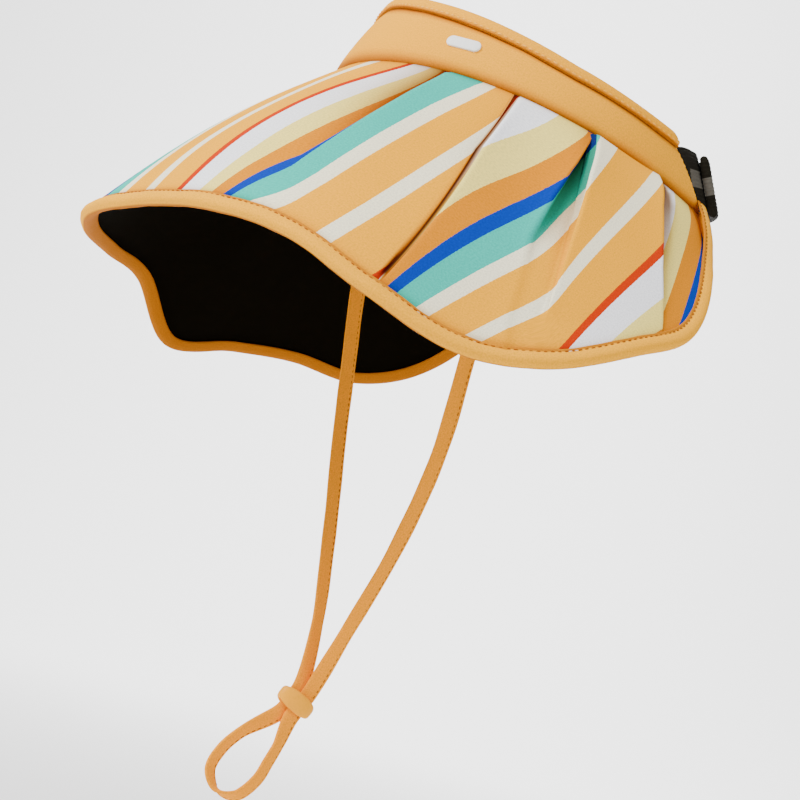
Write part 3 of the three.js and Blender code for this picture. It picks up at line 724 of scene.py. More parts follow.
# %% Brim surface
def rim_stops():
    """The bends of the wire as points, from the wearer's right end to the left one."""
    azimuth, left_reach, left_height, right_reach, right_height = np.array(RIM_ROWS, float).T
    x, y = np.sin(np.radians(azimuth)), -np.cos(np.radians(azimuth))
    left = np.stack([left_reach * x, left_reach * y, left_height], -1)
    right = np.stack([-right_reach * x, right_reach * y, right_height], -1)
    return np.concatenate([right[:0:-1], left])


RIM_STOPS = rim_stops()
RIM_GUIDE = np.concatenate([
    [2 * RIM_STOPS[0] - RIM_STOPS[1]], RIM_STOPS, [2 * RIM_STOPS[-1] - RIM_STOPS[-2]],
])


def rim_point(along):
    spot = (np.clip(np.asarray(along, float), -1, 1) + 1) / 2 * (len(RIM_STOPS) - 1)
    index = np.clip(np.floor(spot).astype(int), 0, len(RIM_STOPS) - 2)
    t = (spot - index)[..., None]
    p0, p1, p2, p3 = (RIM_GUIDE[index + k] for k in range(4))
    return 0.5 * (2 * p1 + (p2 - p0) * t + (2 * p0 - 5 * p1 + 4 * p2 - p3) * t ** 2
                  + (3 * p1 - p0 - 3 * p2 + p3) * t ** 3)


def smooth_brim(along, down):
    """Points on the straight lines between the seam and the edge."""
    top = band_point(along, -PIECE_GAP, -BRIM_SET_IN)
    return top + (rim_point(along) - top) * np.asarray(down, float)[..., None]


def brim_depth(along):
    """The distance from the seam to the edge."""
    along = np.asarray(along, float)
    return np.linalg.norm(rim_point(along) - band_point(along, -PIECE_GAP, -BRIM_SET_IN), axis=-1)


def brim_normal(along, down):
    """The direction out of the striped side."""
    across = smooth_brim(along + NORMAL_STEP, down) - smooth_brim(along - NORMAL_STEP, down)
    outward = smooth_brim(along, down * 0 + 1) - smooth_brim(along, down * 0)
    return unit(np.cross(outward, across))


def flat_from(along):
    """The share of the way down at which the cloth lies flat under the binding."""
    flat = 1 - (BINDING_WIDTH + BINDING_MARGIN) / brim_depth(along)
    return np.maximum(flat, LEAST_FLAT_FROM)


def brim_point(along, down, out=0.0, lift=0.0):
    """Points of the brim, moved out along its normal and lifted as a pleat lifts the cloth.

    Beside the seam a lift goes out from the band instead, so that no fold cuts into the band.
    """
    along, down, out, lift = np.broadcast_arrays(
        *(np.asarray(v, float) for v in (along, down, out, lift)))
    flat = flat_from(along)
    normal = brim_normal(along, np.minimum(down, flat))
    level = band_point(along, 0, 1) - band_point(along, 0)
    turn = np.clip(down / LIFT_TURN, 0, 1)[..., None]
    lift_way = unit(level * (1 - turn) + normal * turn)
    share = np.clip(brim_depth(along) / BULGE_DEPTH, 0, 1)
    left = np.where(down > flat, (1 - down) / (1 - flat), 1.0)
    swell = BRIM_BULGE * share ** 2 * np.sin(np.pi * np.minimum(down, flat)) * left
    return (smooth_brim(along, down) + normal * (swell + out)[..., None]
            + lift_way * lift[..., None])


HALF_RIM = arc_lengths(brim_point(np.linspace(0, 1, MEASURING_STEPS), 1.0))[-1]
print(f"brim edge {2 * HALF_RIM:.0f} mm, seam to edge {brim_depth(0.0):.0f} mm at the front")

# %% [markdown]
# ## Where the stripes run
# The cloth was striped before it was cut, so the stripes are straight lines on the flat cloth,
# and the pleats turn and shift them. To get this, the brim is unrolled: thin strips between the
# seam and the edge are laid side by side in a plane, keeping their lengths. On that plane each
# panel between two pleats has one direction and one shift for its stripes.

# %% Unrolling the brim
UNROLL_STEPS = 400


def triangle_tip(start, end, from_start, from_end):
    """The third corner of a triangle in the plane, to the left of the way from start to end."""
    gap = np.linalg.norm(end - start)
    x = (from_start ** 2 - from_end ** 2 + gap ** 2) / (2 * gap)
    y = math.sqrt(max(from_start ** 2 - x ** 2, 0.0))
    way = (end - start) / gap
    return start + way * x + np.array([-way[1], way[0]]) * y


def unroll(side):
    """The seam and the edge of one side in the plane, one strip laid beside the next."""
    places = np.linspace(0, 1, UNROLL_STEPS + 1) * side
    seam = band_point(places, -PIECE_GAP, -BRIM_SET_IN)
    edge = rim_point(places)
    flat_seam = [np.zeros(2)]
    flat_edge = [np.array([0.0, -np.linalg.norm(edge[0] - seam[0])])]

    seam_steps = np.linalg.norm(np.diff(seam, axis=0), axis=1)
    edge_steps = np.linalg.norm(np.diff(edge, axis=0), axis=1)
    slants = np.linalg.norm(seam[1:] - edge[:-1], axis=1)
    rungs = np.linalg.norm(seam[1:] - edge[1:], axis=1)
    for seam_step, edge_step, slant, rung in zip(seam_steps, edge_steps, slants, rungs):
        s0, e0 = flat_seam[-1], flat_edge[-1]
        # Two corners fit each triangle, and the one away from the last strip is kept.
        s1 = triangle_tip(e0, s0, slant, seam_step)
        if (s1 - s0) @ np.array([-(s0 - e0)[1], (s0 - e0)[0]]) > 0:
            s1 = triangle_tip(s0, e0, seam_step, slant)
        e1 = triangle_tip(e0, s1, edge_step, rung)
        if (e1 - s1) @ (s1 - s0) < (e0 - s1) @ (s1 - s0):
            e1 = triangle_tip(s1, e0, rung, edge_step)
        flat_seam.append(s1)
        flat_edge.append(e1)
    return np.array(flat_seam), np.array(flat_edge)


FLAT = {side: unroll(side) for side in (1, -1)}


def flat_place(along, down):
    """The unrolled place of brim points, with x to the wearer's left."""
    along, down = np.broadcast_arrays(along, down)
    size = np.abs(along)
    stops = np.linspace(0, 1, UNROLL_STEPS + 1)
    result = np.zeros((*along.shape, 2))
    for side in (1, -1):
        seam, edge = FLAT[side]
        chosen = (along * side) >= 0
        for k in range(2):
            a = np.interp(size[chosen], stops, seam[:, k])
            b = np.interp(size[chosen], stops, edge[:, k])
            result[..., k][chosen] = a + (b - a) * down[chosen]
    result[..., 0] = np.abs(result[..., 0]) * np.where(along < 0, -1, 1)
    return result


print("unrolled left end", FLAT[1][0][-1].round(0), "right end", FLAT[-1][0][-1].round(0))

# %% [markdown]
# ## The pleats
# Each side has four knife pleats. A pleat is deepest at the seam and runs out to nothing at its
# tip. Its row gives the fold's line at four places down to the tip, and how far down the brim the
# tip lies. It gives how high the folded edge stands, how wide the riser under it shows, which
# panel lies on top, and whether the riser is cloth of the upper panel. "blend" says how far
# before the tip the stripes begin to join up. The other three values are the painted shade on
# the low side of the fold, where its shadow falls: how dark, how far it reaches, and over which
# share of the depth it fades.

# %% Pleat tables
PLEATS = [
    {"line": (0.358, 0.320, 0.283, 0.245), "depth": 0.75, "rise": 4.0, "riser": 2.4,
     "rear_over": True, "own_riser": False, "blend": 0.05, "dark": 0.9, "reach": 12.0,
     "fade": 0.75},
    {"line": (0.515, 0.467, 0.436, 0.405), "depth": 0.98, "rise": 5.0, "riser": 2.6,
     "rear_over": True, "own_riser": True, "blend": 0.0, "dark": 0.97, "reach": 0.35,
     "fade": 0.06},
    {"line": (0.677, 0.641, 0.612, 0.587), "depth": 0.86, "rise": 6.0, "riser": 3.0,
     "rear_over": True, "own_riser": False, "blend": 0.26, "dark": 0.25, "reach": 3.0,
     "fade": 0.45},
    {"line": (0.835, 0.787, 0.756, 0.735), "depth": 0.98, "rise": 5.0, "riser": 2.2,
     "rear_over": False, "own_riser": True, "blend": 0.0, "dark": 0.6, "reach": 3.5,
     "fade": 0.45},
]
# One row for each column of the grid at a fold, from the lower panel to the upper: which part of
# the fold it is, and its place there. On the ground and on top that is a distance from the foot
# or the edge in millimetres, and on the riser a share of the way up.
FOLD_ROWS = [
    ("ground", -16.0), ("ground", -11.0), ("ground", -7.5), ("ground", -4.8), ("ground", -2.8),
    ("ground", -1.3), ("ground", -0.4), ("riser", 0.0), ("riser", 0.12), ("riser", 0.28),
    ("riser", 0.46), ("riser", 0.64), ("riser", 0.8), ("riser", 0.92), ("top", 0.0),
    ("top", 0.35), ("top", 0.8), ("top", 1.5), ("top", 2.5), ("top", 4.0), ("top", 6.0),
    ("top", 8.5), ("top", 11.5),
]
TOP_ROW = FOLD_ROWS.index(("top", 0.0))
PANEL_COLUMNS = (24, 13, 14, 12, 12)
BRIM_ROWS = 88
print("pleats on each side:", len(PLEATS), "rows of a fold:", len(FOLD_ROWS))

# %% [markdown]
# ## The pocket and the hollow
# The third pleat opens into a pocket. The cloth in front of it rises to a ridge and drops behind
# it, so some of the print goes out of sight there. The fourth pleat faces the other way, and the
# cloth behind its edge hollows. Folds like these follow no simple rule, so they are tables down
# the brim, where one place can be corrected without moving the others.

# %% Pocket and hollow tables
# The ridge's distance ahead of the pleat's line comes first, at places down the brim. The fold's
# rows on the ground are set at shares of it, and the second of them is the ridge. Each row has
# its share of the ridge's height and its own painted shade, darkest where the pocket's shadow
# falls.
POCKET_PLEAT = PLEATS[2]
POCKET_RIDGE = ((0.0, 0.1, 0.25, 0.4, 0.59, 0.75), (0.4, 2.2, 6.2, 11.5, 17.0, 16.0))
POCKET_ROWS = (1.16, 1.0, 0.93, 0.68, 0.42, 0.2, 0.05)
POCKET_HEIGHTS = (0.9, 1.0, 0.25, 0.0, 0.0, 0.0, 0.0)
POCKET_DARK = (0.0, 0.04, 0.94, 0.84, 0.62, 0.44, 0.36)
POCKET_STRENGTH = ((0.0, 0.12, 0.3, 0.48, 0.62), (1.05, 1.03, 0.9, 0.55, 0.0))
POCKET_HEIGHT = ((0.0, 0.1, 0.3, 0.5, 0.7), (0.6, 2.6, 4.2, 3.0, 0.6))
POCKET_FOOT_GAP = 0.2
RIDGE_FADE = 13.0
# How much cloth goes out of sight behind the ridge, down the brim, in millimetres: just behind the
# ridge, and at the rear panel's edge
HIDDEN_AT_RIDGE = ((0.0, 0.1, 0.3, 0.45, 0.59), (9.0, 9.0, 8.0, 5.0, 0.0))
HIDDEN_AT_EDGE = ((0.0, 0.37, 0.5, 0.6, 0.72, 0.85), (9.2, 9.1, 7.2, 4.5, 1.5, 0.0))
# The hollow behind the fourth pleat: how wide its shadow is, where it begins to fade and how dark
# it is, at places down the brim
HOLLOW_DOWNS = (0.0, 0.1, 0.25, 0.45, 0.65)
HOLLOW_WIDTH = (1.5, 2.5, 4.0, 3.5, 2.0)
HOLLOW_START = (4.5, 8.0, 9.5, 7.5, 5.0)
HOLLOW_DARK = (0.85, 0.85, 0.7, 0.4, 0.0)
print("the pocket's ridge stands up to", max(POCKET_HEIGHT[1]), "mm high")

# %% [markdown]
# ## The printed stripes
# The repeat has ten stripes. Each panel has a turn and a shift of its own, because each pleat
# takes in cloth along a slanted line. Sewing and wear also pull the cloth, so a small table for
# each panel bends the stripes of the wearer's left side. The right side, which this view does
# not show, keeps straight stripes. There the shift of each panel is worked out from the one
# before it, so that the stripes meet at the tip of the pleat between them.

# %% Stripe tables
# From the front towards the back, with the width in millimetres
STRIPES = [
    ("blue", 5.2, "#1038A0"), ("turquoise", 10.4, "#2CB8A6"), ("ivory", 6.2, "#FAF2D2"),
    ("orange", 16.0, "#F6A80A"), ("ivory", 6.3, "#FAF2D2"), ("orange", 17.8, "#F6A80A"),
    ("red orange", 4.0, "#C43202"), ("white", 12.4, "#F6F6FA"), ("pale yellow", 9.2, "#F4DE78"),
    ("deep orange", 8.4, "#D88400"),
]
STRIPE_REPEAT = sum(width for _, width, _ in STRIPES)
# For each panel on the wearer's left, from the front: the stripes' turn on the unrolled cloth in
# degrees, and their shift in millimetres
PANEL_STRIPES = [(12.0, -70.2), (17.1, -65.2), (17.0, -39.8), (22.0, -28.2), (37.3, -5.7)]
# How far the stripes of each panel on the wearer's left are pulled, in millimetres. The rows run
# from the seam to the edge, and each row from the panel's front to its rear.
PANEL_PULLS = [
    ((0, -12, 1), (0, 6, -7.5), (0, -6, 12)),
    ((3, -1.5, 4), (1, -0.5, -3.5), (8, 1, -4)),
    ((9.5, 3, -2), (2.5, -6.5, -12), (-4, 2, 1)),
    ((6, 2, 1.5), (-8.5, -5, -2.5), (-6.5, -0.5, -3)),
    ((3, 2, 0), (1, 0, -1), (1, -0.5, 0.5)),
]
TUCK = 1.6                       # cloth that is rolled into the folded edge itself
# Where a pleat ends, the stripes of its two panels join up: over which distance, how much wider
# that gets further down, and how far past the tip they have joined
BLEND_WIDTH = 8.0
BLEND_SPREAD = 70.0
BLEND_PAST = 0.05
print("stripe repeat", round(STRIPE_REPEAT, 1), "mm")


# %% Stripe directions
def pleat_line(pleat, down):
    """The place of a pleat's fold along the band, down the brim."""
    return np.interp(down / pleat["depth"], [0, 1 / 3, 2 / 3, 1], pleat["line"])


def stripe_across(place, turn):
    """The distance across stripes that are turned by an angle on the unrolled cloth."""
    return place[..., 0] * np.cos(turn) + place[..., 1] * np.sin(turn)


def mirrored_panels():
    """Turns and shifts for the wearer's right, where each pleat's tip keeps the stripes whole."""
    first = PANEL_STRIPES[0]
    panels = [first]
    for pleat, (left_turn, _) in zip(PLEATS, PANEL_STRIPES[1:]):
        turn = 2 * first[0] - left_turn
        tip = flat_place(np.array([-pleat["line"][-1]]), np.array([pleat["depth"]]))
        before = stripe_across(tip, math.radians(panels[-1][0]))[0] + panels[-1][1]
        panels.append((turn, before - stripe_across(tip, math.radians(turn))[0]))
    return panels


SIDE_PANELS = {1: PANEL_STRIPES, -1: mirrored_panels()}
print("right side panels:", [(round(t), round(s)) for t, s in SIDE_PANELS[-1]])

# %% [markdown]
# ## The folded cloth
# The brim is one sheet, so its grid has a column for each line of a fold and more columns between.
# Each column knows its place and what part of the fold it is.

# %% Brim columns
NARROWEST_RISER = 0.3            # share of a riser's width that is left at the tip
NARROWING_POWER = 0.6


def side_columns():
    """Columns from the front to one end: a panel with a share, or a fold with a row."""
    columns = []
    for panel, count in enumerate(PANEL_COLUMNS):
        shares = np.linspace(0, 1, count + 2)[1:-1]
        if panel == 0:
            shares = np.linspace(0, 1, count + 1)[:-1]
        if panel == len(PLEATS):
            shares = np.linspace(0, 1, count + 1)[1:]
        columns += [("panel", panel, share) for share in shares]
        if panel < len(PLEATS):
            rows = range(len(FOLD_ROWS))
            if not PLEATS[panel]["rear_over"]:
                rows = reversed(rows)
            columns += [("fold", panel, row) for row in rows]
    return columns


def ridge_distance(down):
    """How far ahead of the third pleat's line the soft ridge of its pocket runs."""
    return np.interp(down, *POCKET_RIDGE)


def fold_offset(pleat, row, down):
    """Distance of a fold's row behind the pleat's line, in millimetres."""
    part, place = FOLD_ROWS[row]
    if pleat is POCKET_PLEAT and part == "ground":
        return -POCKET_ROWS[row] * ridge_distance(down) - POCKET_FOOT_GAP
    left = np.clip(1 - down / pleat["depth"], 0, 1)
    narrow = NARROWEST_RISER + (1 - NARROWEST_RISER) * left ** NARROWING_POWER
    riser = pleat["riser"] * narrow
    offset = {"ground": place - riser, "riser": (place - 1) * riser, "top": place + 0 * riser}[part]
    return offset * (1 if pleat["rear_over"] else -1)


def brim_places(columns, down, scale, lines):
    """The place along the band of each column, down the brim."""
    ends = []
    for pleat, line in zip(PLEATS, lines):
        rows = (0, len(FOLD_ROWS) - 1) if pleat["rear_over"] else (len(FOLD_ROWS) - 1, 0)
        ends.append([line + fold_offset(pleat, row, down) / scale for row in rows])
    place = np.zeros((len(down), len(columns)))
    for c, (kind, index, item) in enumerate(columns):
        if kind == "fold":
            place[:, c] = lines[index] + fold_offset(PLEATS[index], item, down) / scale
            continue
        front = ends[index - 1][1] if index > 0 else 0.0 * down
        rear = ends[index][0] if index < len(PLEATS) else BRIM_END + 0.0 * down
        place[:, c] = front + (rear - front) * item
    return place


print("columns on each side:", len(side_columns()))

# %% [markdown]
# ## The height of the folds
# Just behind a folded edge the panel stands highest, and from there it comes down slowly. Before
# the edge is the riser, and the ground dips a little at its foot. The same distances give the
# painted shade on the low side of each fold, where its shadow falls. It is kept as an attribute
# of the cloth, so that the material can darken the colour there.

# %% Fold heights
FOLD_POWER = 0.75                # how a fold's height runs out towards its tip
FOLD_AT_SEAM = 0.55              # share of its height that it starts with at the seam
FOLD_GROWN_AT = 0.25
HELD_BY_SEAM = 0.15              # share that is left of it where the cloth is sewn in
HELD_UNTIL = 0.035
PLEAT_FADE = 18.0
EDGE_RISE = 1.12                 # highest place of the rounded edge, as a share of the fold
EDGE_WIDTH = 1.2                 # how far behind the edge that is
EDGE_START = 0.88                # the edge itself, as a share of the highest place
CLIMB_POWER = 1.3                # a riser starts gently
RISER_TOP = 0.98
VALLEY = 0.7
VALLEY_WIDTH = 4.0
VALLEY_FADE = 5.0
ON_RISER_UNTIL = 0.01
SHADED_UNTIL = -0.05
LEAST_REACH = 0.4                # share of a shadow's reach that is left at the tip
RISER_LIGHT = 0.45               # how much of the shadow is gone at a riser's upper edge


def fold_height(pleat, down):
    """How high the folded edge stands, down the brim."""
    left = np.clip(1 - down / pleat["depth"], 0, 1)
    sewn = HELD_BY_SEAM + (1 - HELD_BY_SEAM) * smoothstep(down, 0.0, HELD_UNTIL)
    grown = FOLD_AT_SEAM + (1 - FOLD_AT_SEAM) * smoothstep(down, 0.0, FOLD_GROWN_AT)
    return pleat["rise"] * left ** FOLD_POWER * grown * sewn


def riser_shares(columns, pleat_index):
    """How far up the riser of one pleat each column is, or -1 for all other columns."""
    return np.array([
        FOLD_ROWS[item][1] if kind == "fold" and index == pleat_index
        and FOLD_ROWS[item][0] == "riser" else -1.0
        for kind, index, item in columns
    ])[None, :]


def fold_lifts(columns, down, scale, lines, place):
    """How far each pleat lifts the cloth, and the painted shade on the low side of its fold."""
    lift = np.zeros_like(place)
    shade = np.ones_like(place)
    for k, pleat in enumerate(PLEATS):
        way = 1 if pleat["rear_over"] else -1
        height = fold_height(pleat, down)[:, None]
        valley = VALLEY * np.clip(height / pleat["rise"], 0, 1)
        edge = lines[k] * scale + fold_offset(pleat, TOP_ROW, down)
        past = (place * scale[:, None] - edge[:, None]) * way
        top = EDGE_RISE * height * np.exp(-np.clip(past - EDGE_WIDTH, 0, None) / PLEAT_FADE)
        top = top * (EDGE_START + (1 - EDGE_START) * smoothstep(past, 0.0, EDGE_WIDTH))
        foot = -valley * np.exp((past + VALLEY_WIDTH) / VALLEY_FADE)
        ground = np.where(past < 0, np.maximum(foot, -VALLEY), 0.0)
        riser = riser_shares(columns, k)
        climb = np.clip(riser, 0, 1) ** CLIMB_POWER
        on_riser = (riser >= 0) & (past < ON_RISER_UNTIL)
        wall = -valley * (1 - climb) + RISER_TOP * height * climb
        lift += np.where(on_riser, wall, np.where(past >= 0, top, ground))
        # Painted shade before the folded edge, lighter towards a riser's upper edge
        left = np.clip(1 - down / pleat["depth"], 0, 1)
        strength = smoothstep(left, 0.0, pleat["fade"])[:, None]
        reach = pleat["reach"] * (LEAST_REACH + (1 - LEAST_REACH) * strength)
        before = np.exp(-np.clip(-past - pleat["riser"], 0, None) / reach)
        low_side = np.where(past < SHADED_UNTIL, before, 0.0)
        light_edge = np.where(on_riser, 1 - RISER_LIGHT * climb, 1.0)
        shade *= 1 - pleat["dark"] * strength * low_side * light_edge
    return lift, shade


print("folds halfway down:", [round(float(fold_height(pleat, 0.5)), 1) for pleat in PLEATS], "mm")

# %% [markdown]
# ## The print on the folded cloth
# Each grid point gets its distances across the stripes and along them. At a fold the stripes
# change at once from one panel's turn and shift to the next one's. Past the tip of a pleat that
# ends inside the brim they change softly. Where a riser shows cloth of the upper panel, the
# distance keeps counting along the sheet, so the right stripe shows in the fold.


# %% Print on the folded cloth
def through_three(values, share):
    """The smooth curve through three values, at the shares 0, a half and 1."""
    first, middle, last = values
    return (first * (1 - share) * (1 - 2 * share) + middle * 4 * share * (1 - share)
            + last * share * (2 * share - 1))


def panel_pull(rows, index, place, down, lines):
    """The pull on a panel's stripes, between the values of its table."""
    front = lines[index - 1] if index > 0 else 0.0 * down
    rear = lines[index] if index < len(PLEATS) else BRIM_END + 0.0 * down
    share = np.clip((place - front[:, None]) / (rear - front)[:, None], 0, 1)
    return through_three([through_three(row, share) for row in rows], down[:, None])


def behind_fold(columns, k, pleat, down):
    """Which columns lie behind fold k, and how much cloth its riser has tucked away."""
    way = 1 if pleat["rear_over"] else -1
    behind = np.zeros(len(columns))
    hidden = np.zeros((len(down), len(columns)))
    for c, (kind, index, item) in enumerate(columns):
        if kind != "fold" or index != k:
            behind[c] = index > k
            continue
        part, spot = FOLD_ROWS[item]
        own_riser = part == "riser" and pleat["own_riser"]
        upper = part == "top" or own_riser
        behind[c] = upper if pleat["rear_over"] else not upper
        if own_riser:
            hidden[:, c] = -way * (TUCK + (1 - spot) * (fold_height(pleat, down) + pleat["riser"]))
    return behind[None, :], hidden


def stripe_values(side, columns, down, place, lines, scale):
    """Distances across and along the stripes, for the cloth at each grid point."""
    deep = np.broadcast_to(down[:, None], place.shape)

    def panel_values(index, spots):
        turn, shift = SIDE_PANELS[side][index]
        flat = flat_place(spots * side, deep)
        angle = math.radians(turn)
        across = stripe_across(flat, angle) + shift
        if side > 0:
            across = across + panel_pull(PANEL_PULLS[index], index, spots, down, lines)
        return np.stack([across, flat[..., 1] * math.cos(angle) - flat[..., 0] * math.sin(angle)])

    total = panel_values(0, place)
    for k, pleat in enumerate(PLEATS):
        behind, hidden = behind_fold(columns, k, pleat, down)
        offset = (place - lines[k][:, None]) * scale[:, None]
        room = BLEND_WIDTH + BLEND_SPREAD * np.clip(down - pleat["depth"], 0, None)[:, None]
        soft = smoothstep(offset, -room, room)
        blend_from, blend_to = pleat["depth"] - pleat["blend"], pleat["depth"] + BLEND_PAST
        below = smoothstep(down, blend_from, blend_to)[:, None]
        weight = behind + (soft - behind) * below * (pleat["blend"] > 0)
        spots = place + hidden / scale[:, None]
        if pleat["rear_over"]:
            step = panel_values(k + 1, spots) - panel_values(k, place)
            total = total + step * weight
        else:
            here = panel_values(k, place)
            total = total + (panel_values(k + 1, place) - here) * weight
            total = total + (panel_values(k, spots) - here) * (hidden != 0)
    return total


print("panels on each side:", len(PANEL_STRIPES))

# %% [markdown]
# ## The shape of the pocket
# The pocket's rows come from its tables: how high the cloth rises there, how dark its painted
# shade is, and how much cloth its ridge hides. Ahead of the ridge the height runs out softly.


# %% Pocket and hollow
def by_row(columns, values, rest, riser):
    """One value for each column: of its row in the pocket's fold, of the riser, or the rest."""
    pocket = PLEATS.index(POCKET_PLEAT)
    chosen = []
    for kind, index, item in columns:
        value = rest
        if kind == "fold" and index == pocket:
            part = FOLD_ROWS[item][0]
            value = values[item] if part == "ground" else riser if part == "riser" else rest
        chosen.append(value)
    return np.array(chosen, float)[None, :]


def pocket_shape(columns, place, down, lines, scale):
    """The pocket's lift, its painted shade and the cloth that its ridge hides."""
    line = lines[PLEATS.index(POCKET_PLEAT)]
    ahead = (line[:, None] - place) * scale[:, None]
    height = np.interp(down, *POCKET_HEIGHT)[:, None]
    ridge = ridge_distance(down)[:, None]
    before = np.clip(ahead / ridge - 1, 0, None)
    outside = np.where(before > 0, np.exp(-before * ridge / RIDGE_FADE), 0.0)
    share = by_row(columns, POCKET_HEIGHTS, -1.0, 0.0)
    lift = height * np.where(share >= 0, share, outside)
    strength = np.interp(down, *POCKET_STRENGTH)[:, None]
    dark = by_row(columns, POCKET_DARK, 0.0, POCKET_DARK[-1]) * strength
    inside = by_row(columns, [share < 1 for share in POCKET_ROWS], 0.0, 1.0)
    near_ridge = by_row(columns, POCKET_ROWS, 0.0, 0.0)
    at_ridge = np.interp(down, *HIDDEN_AT_RIDGE)[:, None]
    at_edge = np.interp(down, *HIDDEN_AT_EDGE)[:, None]
    hidden = inside * (at_edge + (at_ridge - at_edge) * near_ridge)
    return lift, 1 - dark, hidden


def rear_hollow_shade(place, down, lines, scale):
    """The painted shade in the hollow behind the fourth pleat's edge."""
    behind = (place - lines[-1][:, None]) * scale[:, None]
    width, start, strength = (np.interp(down, HOLLOW_DOWNS, values)[:, None]
                              for values in (HOLLOW_WIDTH, HOLLOW_START, HOLLOW_DARK))
    fall = np.exp(-(np.clip(behind - start, 0, None) / width) ** 2)
    return 1 - np.where(behind > 0, strength * fall, 0.0)


print("the ridge runs up to", ridge_distance(POCKET_RIDGE[0]).max(), "mm ahead of the pleat")

# %% [markdown]
# ## The striped brim
# The sheet's two halves meet at the front. A soft, seeded waviness keeps the panels from looking
# like metal: it is strongest halfway down, where nothing holds the cloth. Each point is then
# backed by a second one under it, which gives the cloth its thickness.

# %% Striped brim
CLOTH_THICKNESS = 0.5
BRIM_EDGE_SHORT = 2.2
ROWS_CROWD = 1.08                # above 1, the rows lie closer together near the seam
SHEET_WAVE = 1.0
SHEET_WAVE_LENGTH = 16.0
SHEET_WAVES_DOWN = 3.0
FREEDOM_POWER = 1.5
# The painted shade beside the band and beside the binding: how dark, and how far it reaches
UNDER_BAND_SHADE = (0.4, 2.2)
BESIDE_BINDING_SHADE = (0.4, 1.6)


def make_brim_shell():
    grids, across, along, shades = [], [], [], []
    columns = side_columns()
    down = np.linspace(0, 1, BRIM_ROWS) ** ROWS_CROWD
    scale = HALF_BAND + (HALF_RIM - HALF_BAND) * down
    lines = [pleat_line(pleat, down) for pleat in PLEATS]
    size = brim_places(columns, down, scale, lines)
    lift, shade = fold_lifts(columns, down, scale, lines, size)
    ridge, pocket, hidden = pocket_shape(columns, size, down, lines, scale)
    # The pocket's and the hollow's painted shade are multiplied into the painted shade of the folds
    shade = shade * pocket * rear_hollow_shade(size, down, lines, scale)
    for side in (-1, 1):
        place = size * side
        rows = down[:, None] * (1 - BRIM_EDGE_SHORT / brim_depth(place))
        q, r = stripe_values(side, columns, down, size, lines, scale)
        q = q + hidden * side
        freedom = np.sin(np.pi * np.clip(rows / flat_from(place), 0, 1)) ** FREEDOM_POWER
        wave = SHEET_WAVE * freedom * soft_noise(
            place * HALF_RIM / SHEET_WAVE_LENGTH, rows * SHEET_WAVES_DOWN, seed=41)
        points = brim_point(place, rows, wave, lift + ridge)
        # Painted shade: darker just under the band and just beside the binding, where shadow falls
        dark, reach = UNDER_BAND_SHADE
        under_band = 1 - dark * np.exp(-rows * brim_depth(place) / reach)
        dark, reach = BESIDE_BINDING_SHADE
        to_binding = np.clip((1 - rows) * brim_depth(place) - BINDING_WIDTH, 0, None)
        beside_binding = 1 - dark * np.exp(-to_binding / reach)
        keep = slice(None, 0, -1) if side < 0 else slice(None)
        for store, grid in ((grids, points), (across, q), (along, r),
                            (shades, shade * under_band * beside_binding)):
            store.append(grid[:, keep])
    outer, q, r, shade = (np.concatenate(parts, axis=1)
                          for parts in (grids, across, along, shades))
    inner = outer - grid_normals(outer) * CLOTH_THICKNESS
    sheet = wall_piece("striped_brim", outer, inner, np.stack([q, r], -1), shade)
    return face_outward(sheet), outer


brim, brim_grid = make_brim_shell()
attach(brim, "root")
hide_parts("brim_shell")
print("brim triangles:", 2 * len(brim.data.polygons))

# %% [markdown]
# ## The black lining
# Under the stripes the cloth is black. It is drawn as a second, smoother sheet just inside the
# first, with faint radial creases where the pleats press on it.

# %% Black lining
LINING_ROWS = 44
LINING_COLUMNS = 300
LINING_TOP = 1.7
LINING_THICKNESS = 0.8
CREASE_DEPTH = 0.7
CREASE_WIDTH = 5.0
CREASE_FROM = 0.12
LINING_SAG = 0.25
LINING_WAVE_LENGTH = 14.0
LINING_WAVES_DOWN = 3


def make_lining():
    column = np.linspace(-BRIM_END, BRIM_END, LINING_COLUMNS)[None, :]
    share = np.linspace(0, 1, LINING_ROWS)[:, None]
    down = share * (1 - BRIM_EDGE_SHORT / brim_depth(column))
    width = HALF_BAND + HALF_RIM * down
    crease = np.zeros((LINING_ROWS, LINING_COLUMNS))
    for pleat in PLEATS:
        distance = (np.abs(column) - pleat_line(pleat, down)) * width / CREASE_WIDTH
        crease += np.exp(-distance ** 2) * np.clip(1 - down / pleat["depth"], 0, 1)
    freedom = np.sin(np.pi * np.clip(down / flat_from(column), 0, 1))
    soft = soft_noise(column * HALF_RIM / LINING_WAVE_LENGTH, down * LINING_WAVES_DOWN, seed=51)
    pressed = CREASE_DEPTH * crease * smoothstep(down, 0.0, CREASE_FROM)
    depth = LINING_TOP + pressed + freedom * LINING_SAG * (1 + soft)
    outer = brim_point(column, down, -depth)
    inner = brim_point(column, down, -depth - LINING_THICKNESS)
    uv = np.stack([np.broadcast_to(column * HALF_RIM, crease.shape), down * brim_depth(column)], -1)
    return face_outward(wall_piece("brim_lining_black", outer, inner, uv))


lining = make_lining()
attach(lining, "root")
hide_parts("brim_lining")
print("lining triangles:", 2 * len(lining.data.polygons))

# %% [markdown]
# ## The edge binding
# A folded tape wraps the brim's edge and the wire inside it. Its section hugs the cloth on both
# sides and is fattest round the wire. A shallow dip shows where the stitches hold it. Near the
# back the binding leaves the wire's curve and climbs along the end of the cloth to the tip of the
# band, so its last rows are given as points. The tape is doubled and turned under at its underside
# and sewn inner edge, and both get painted shade, darker where shadow falls under the brim and in
# the crease beside the stitches.

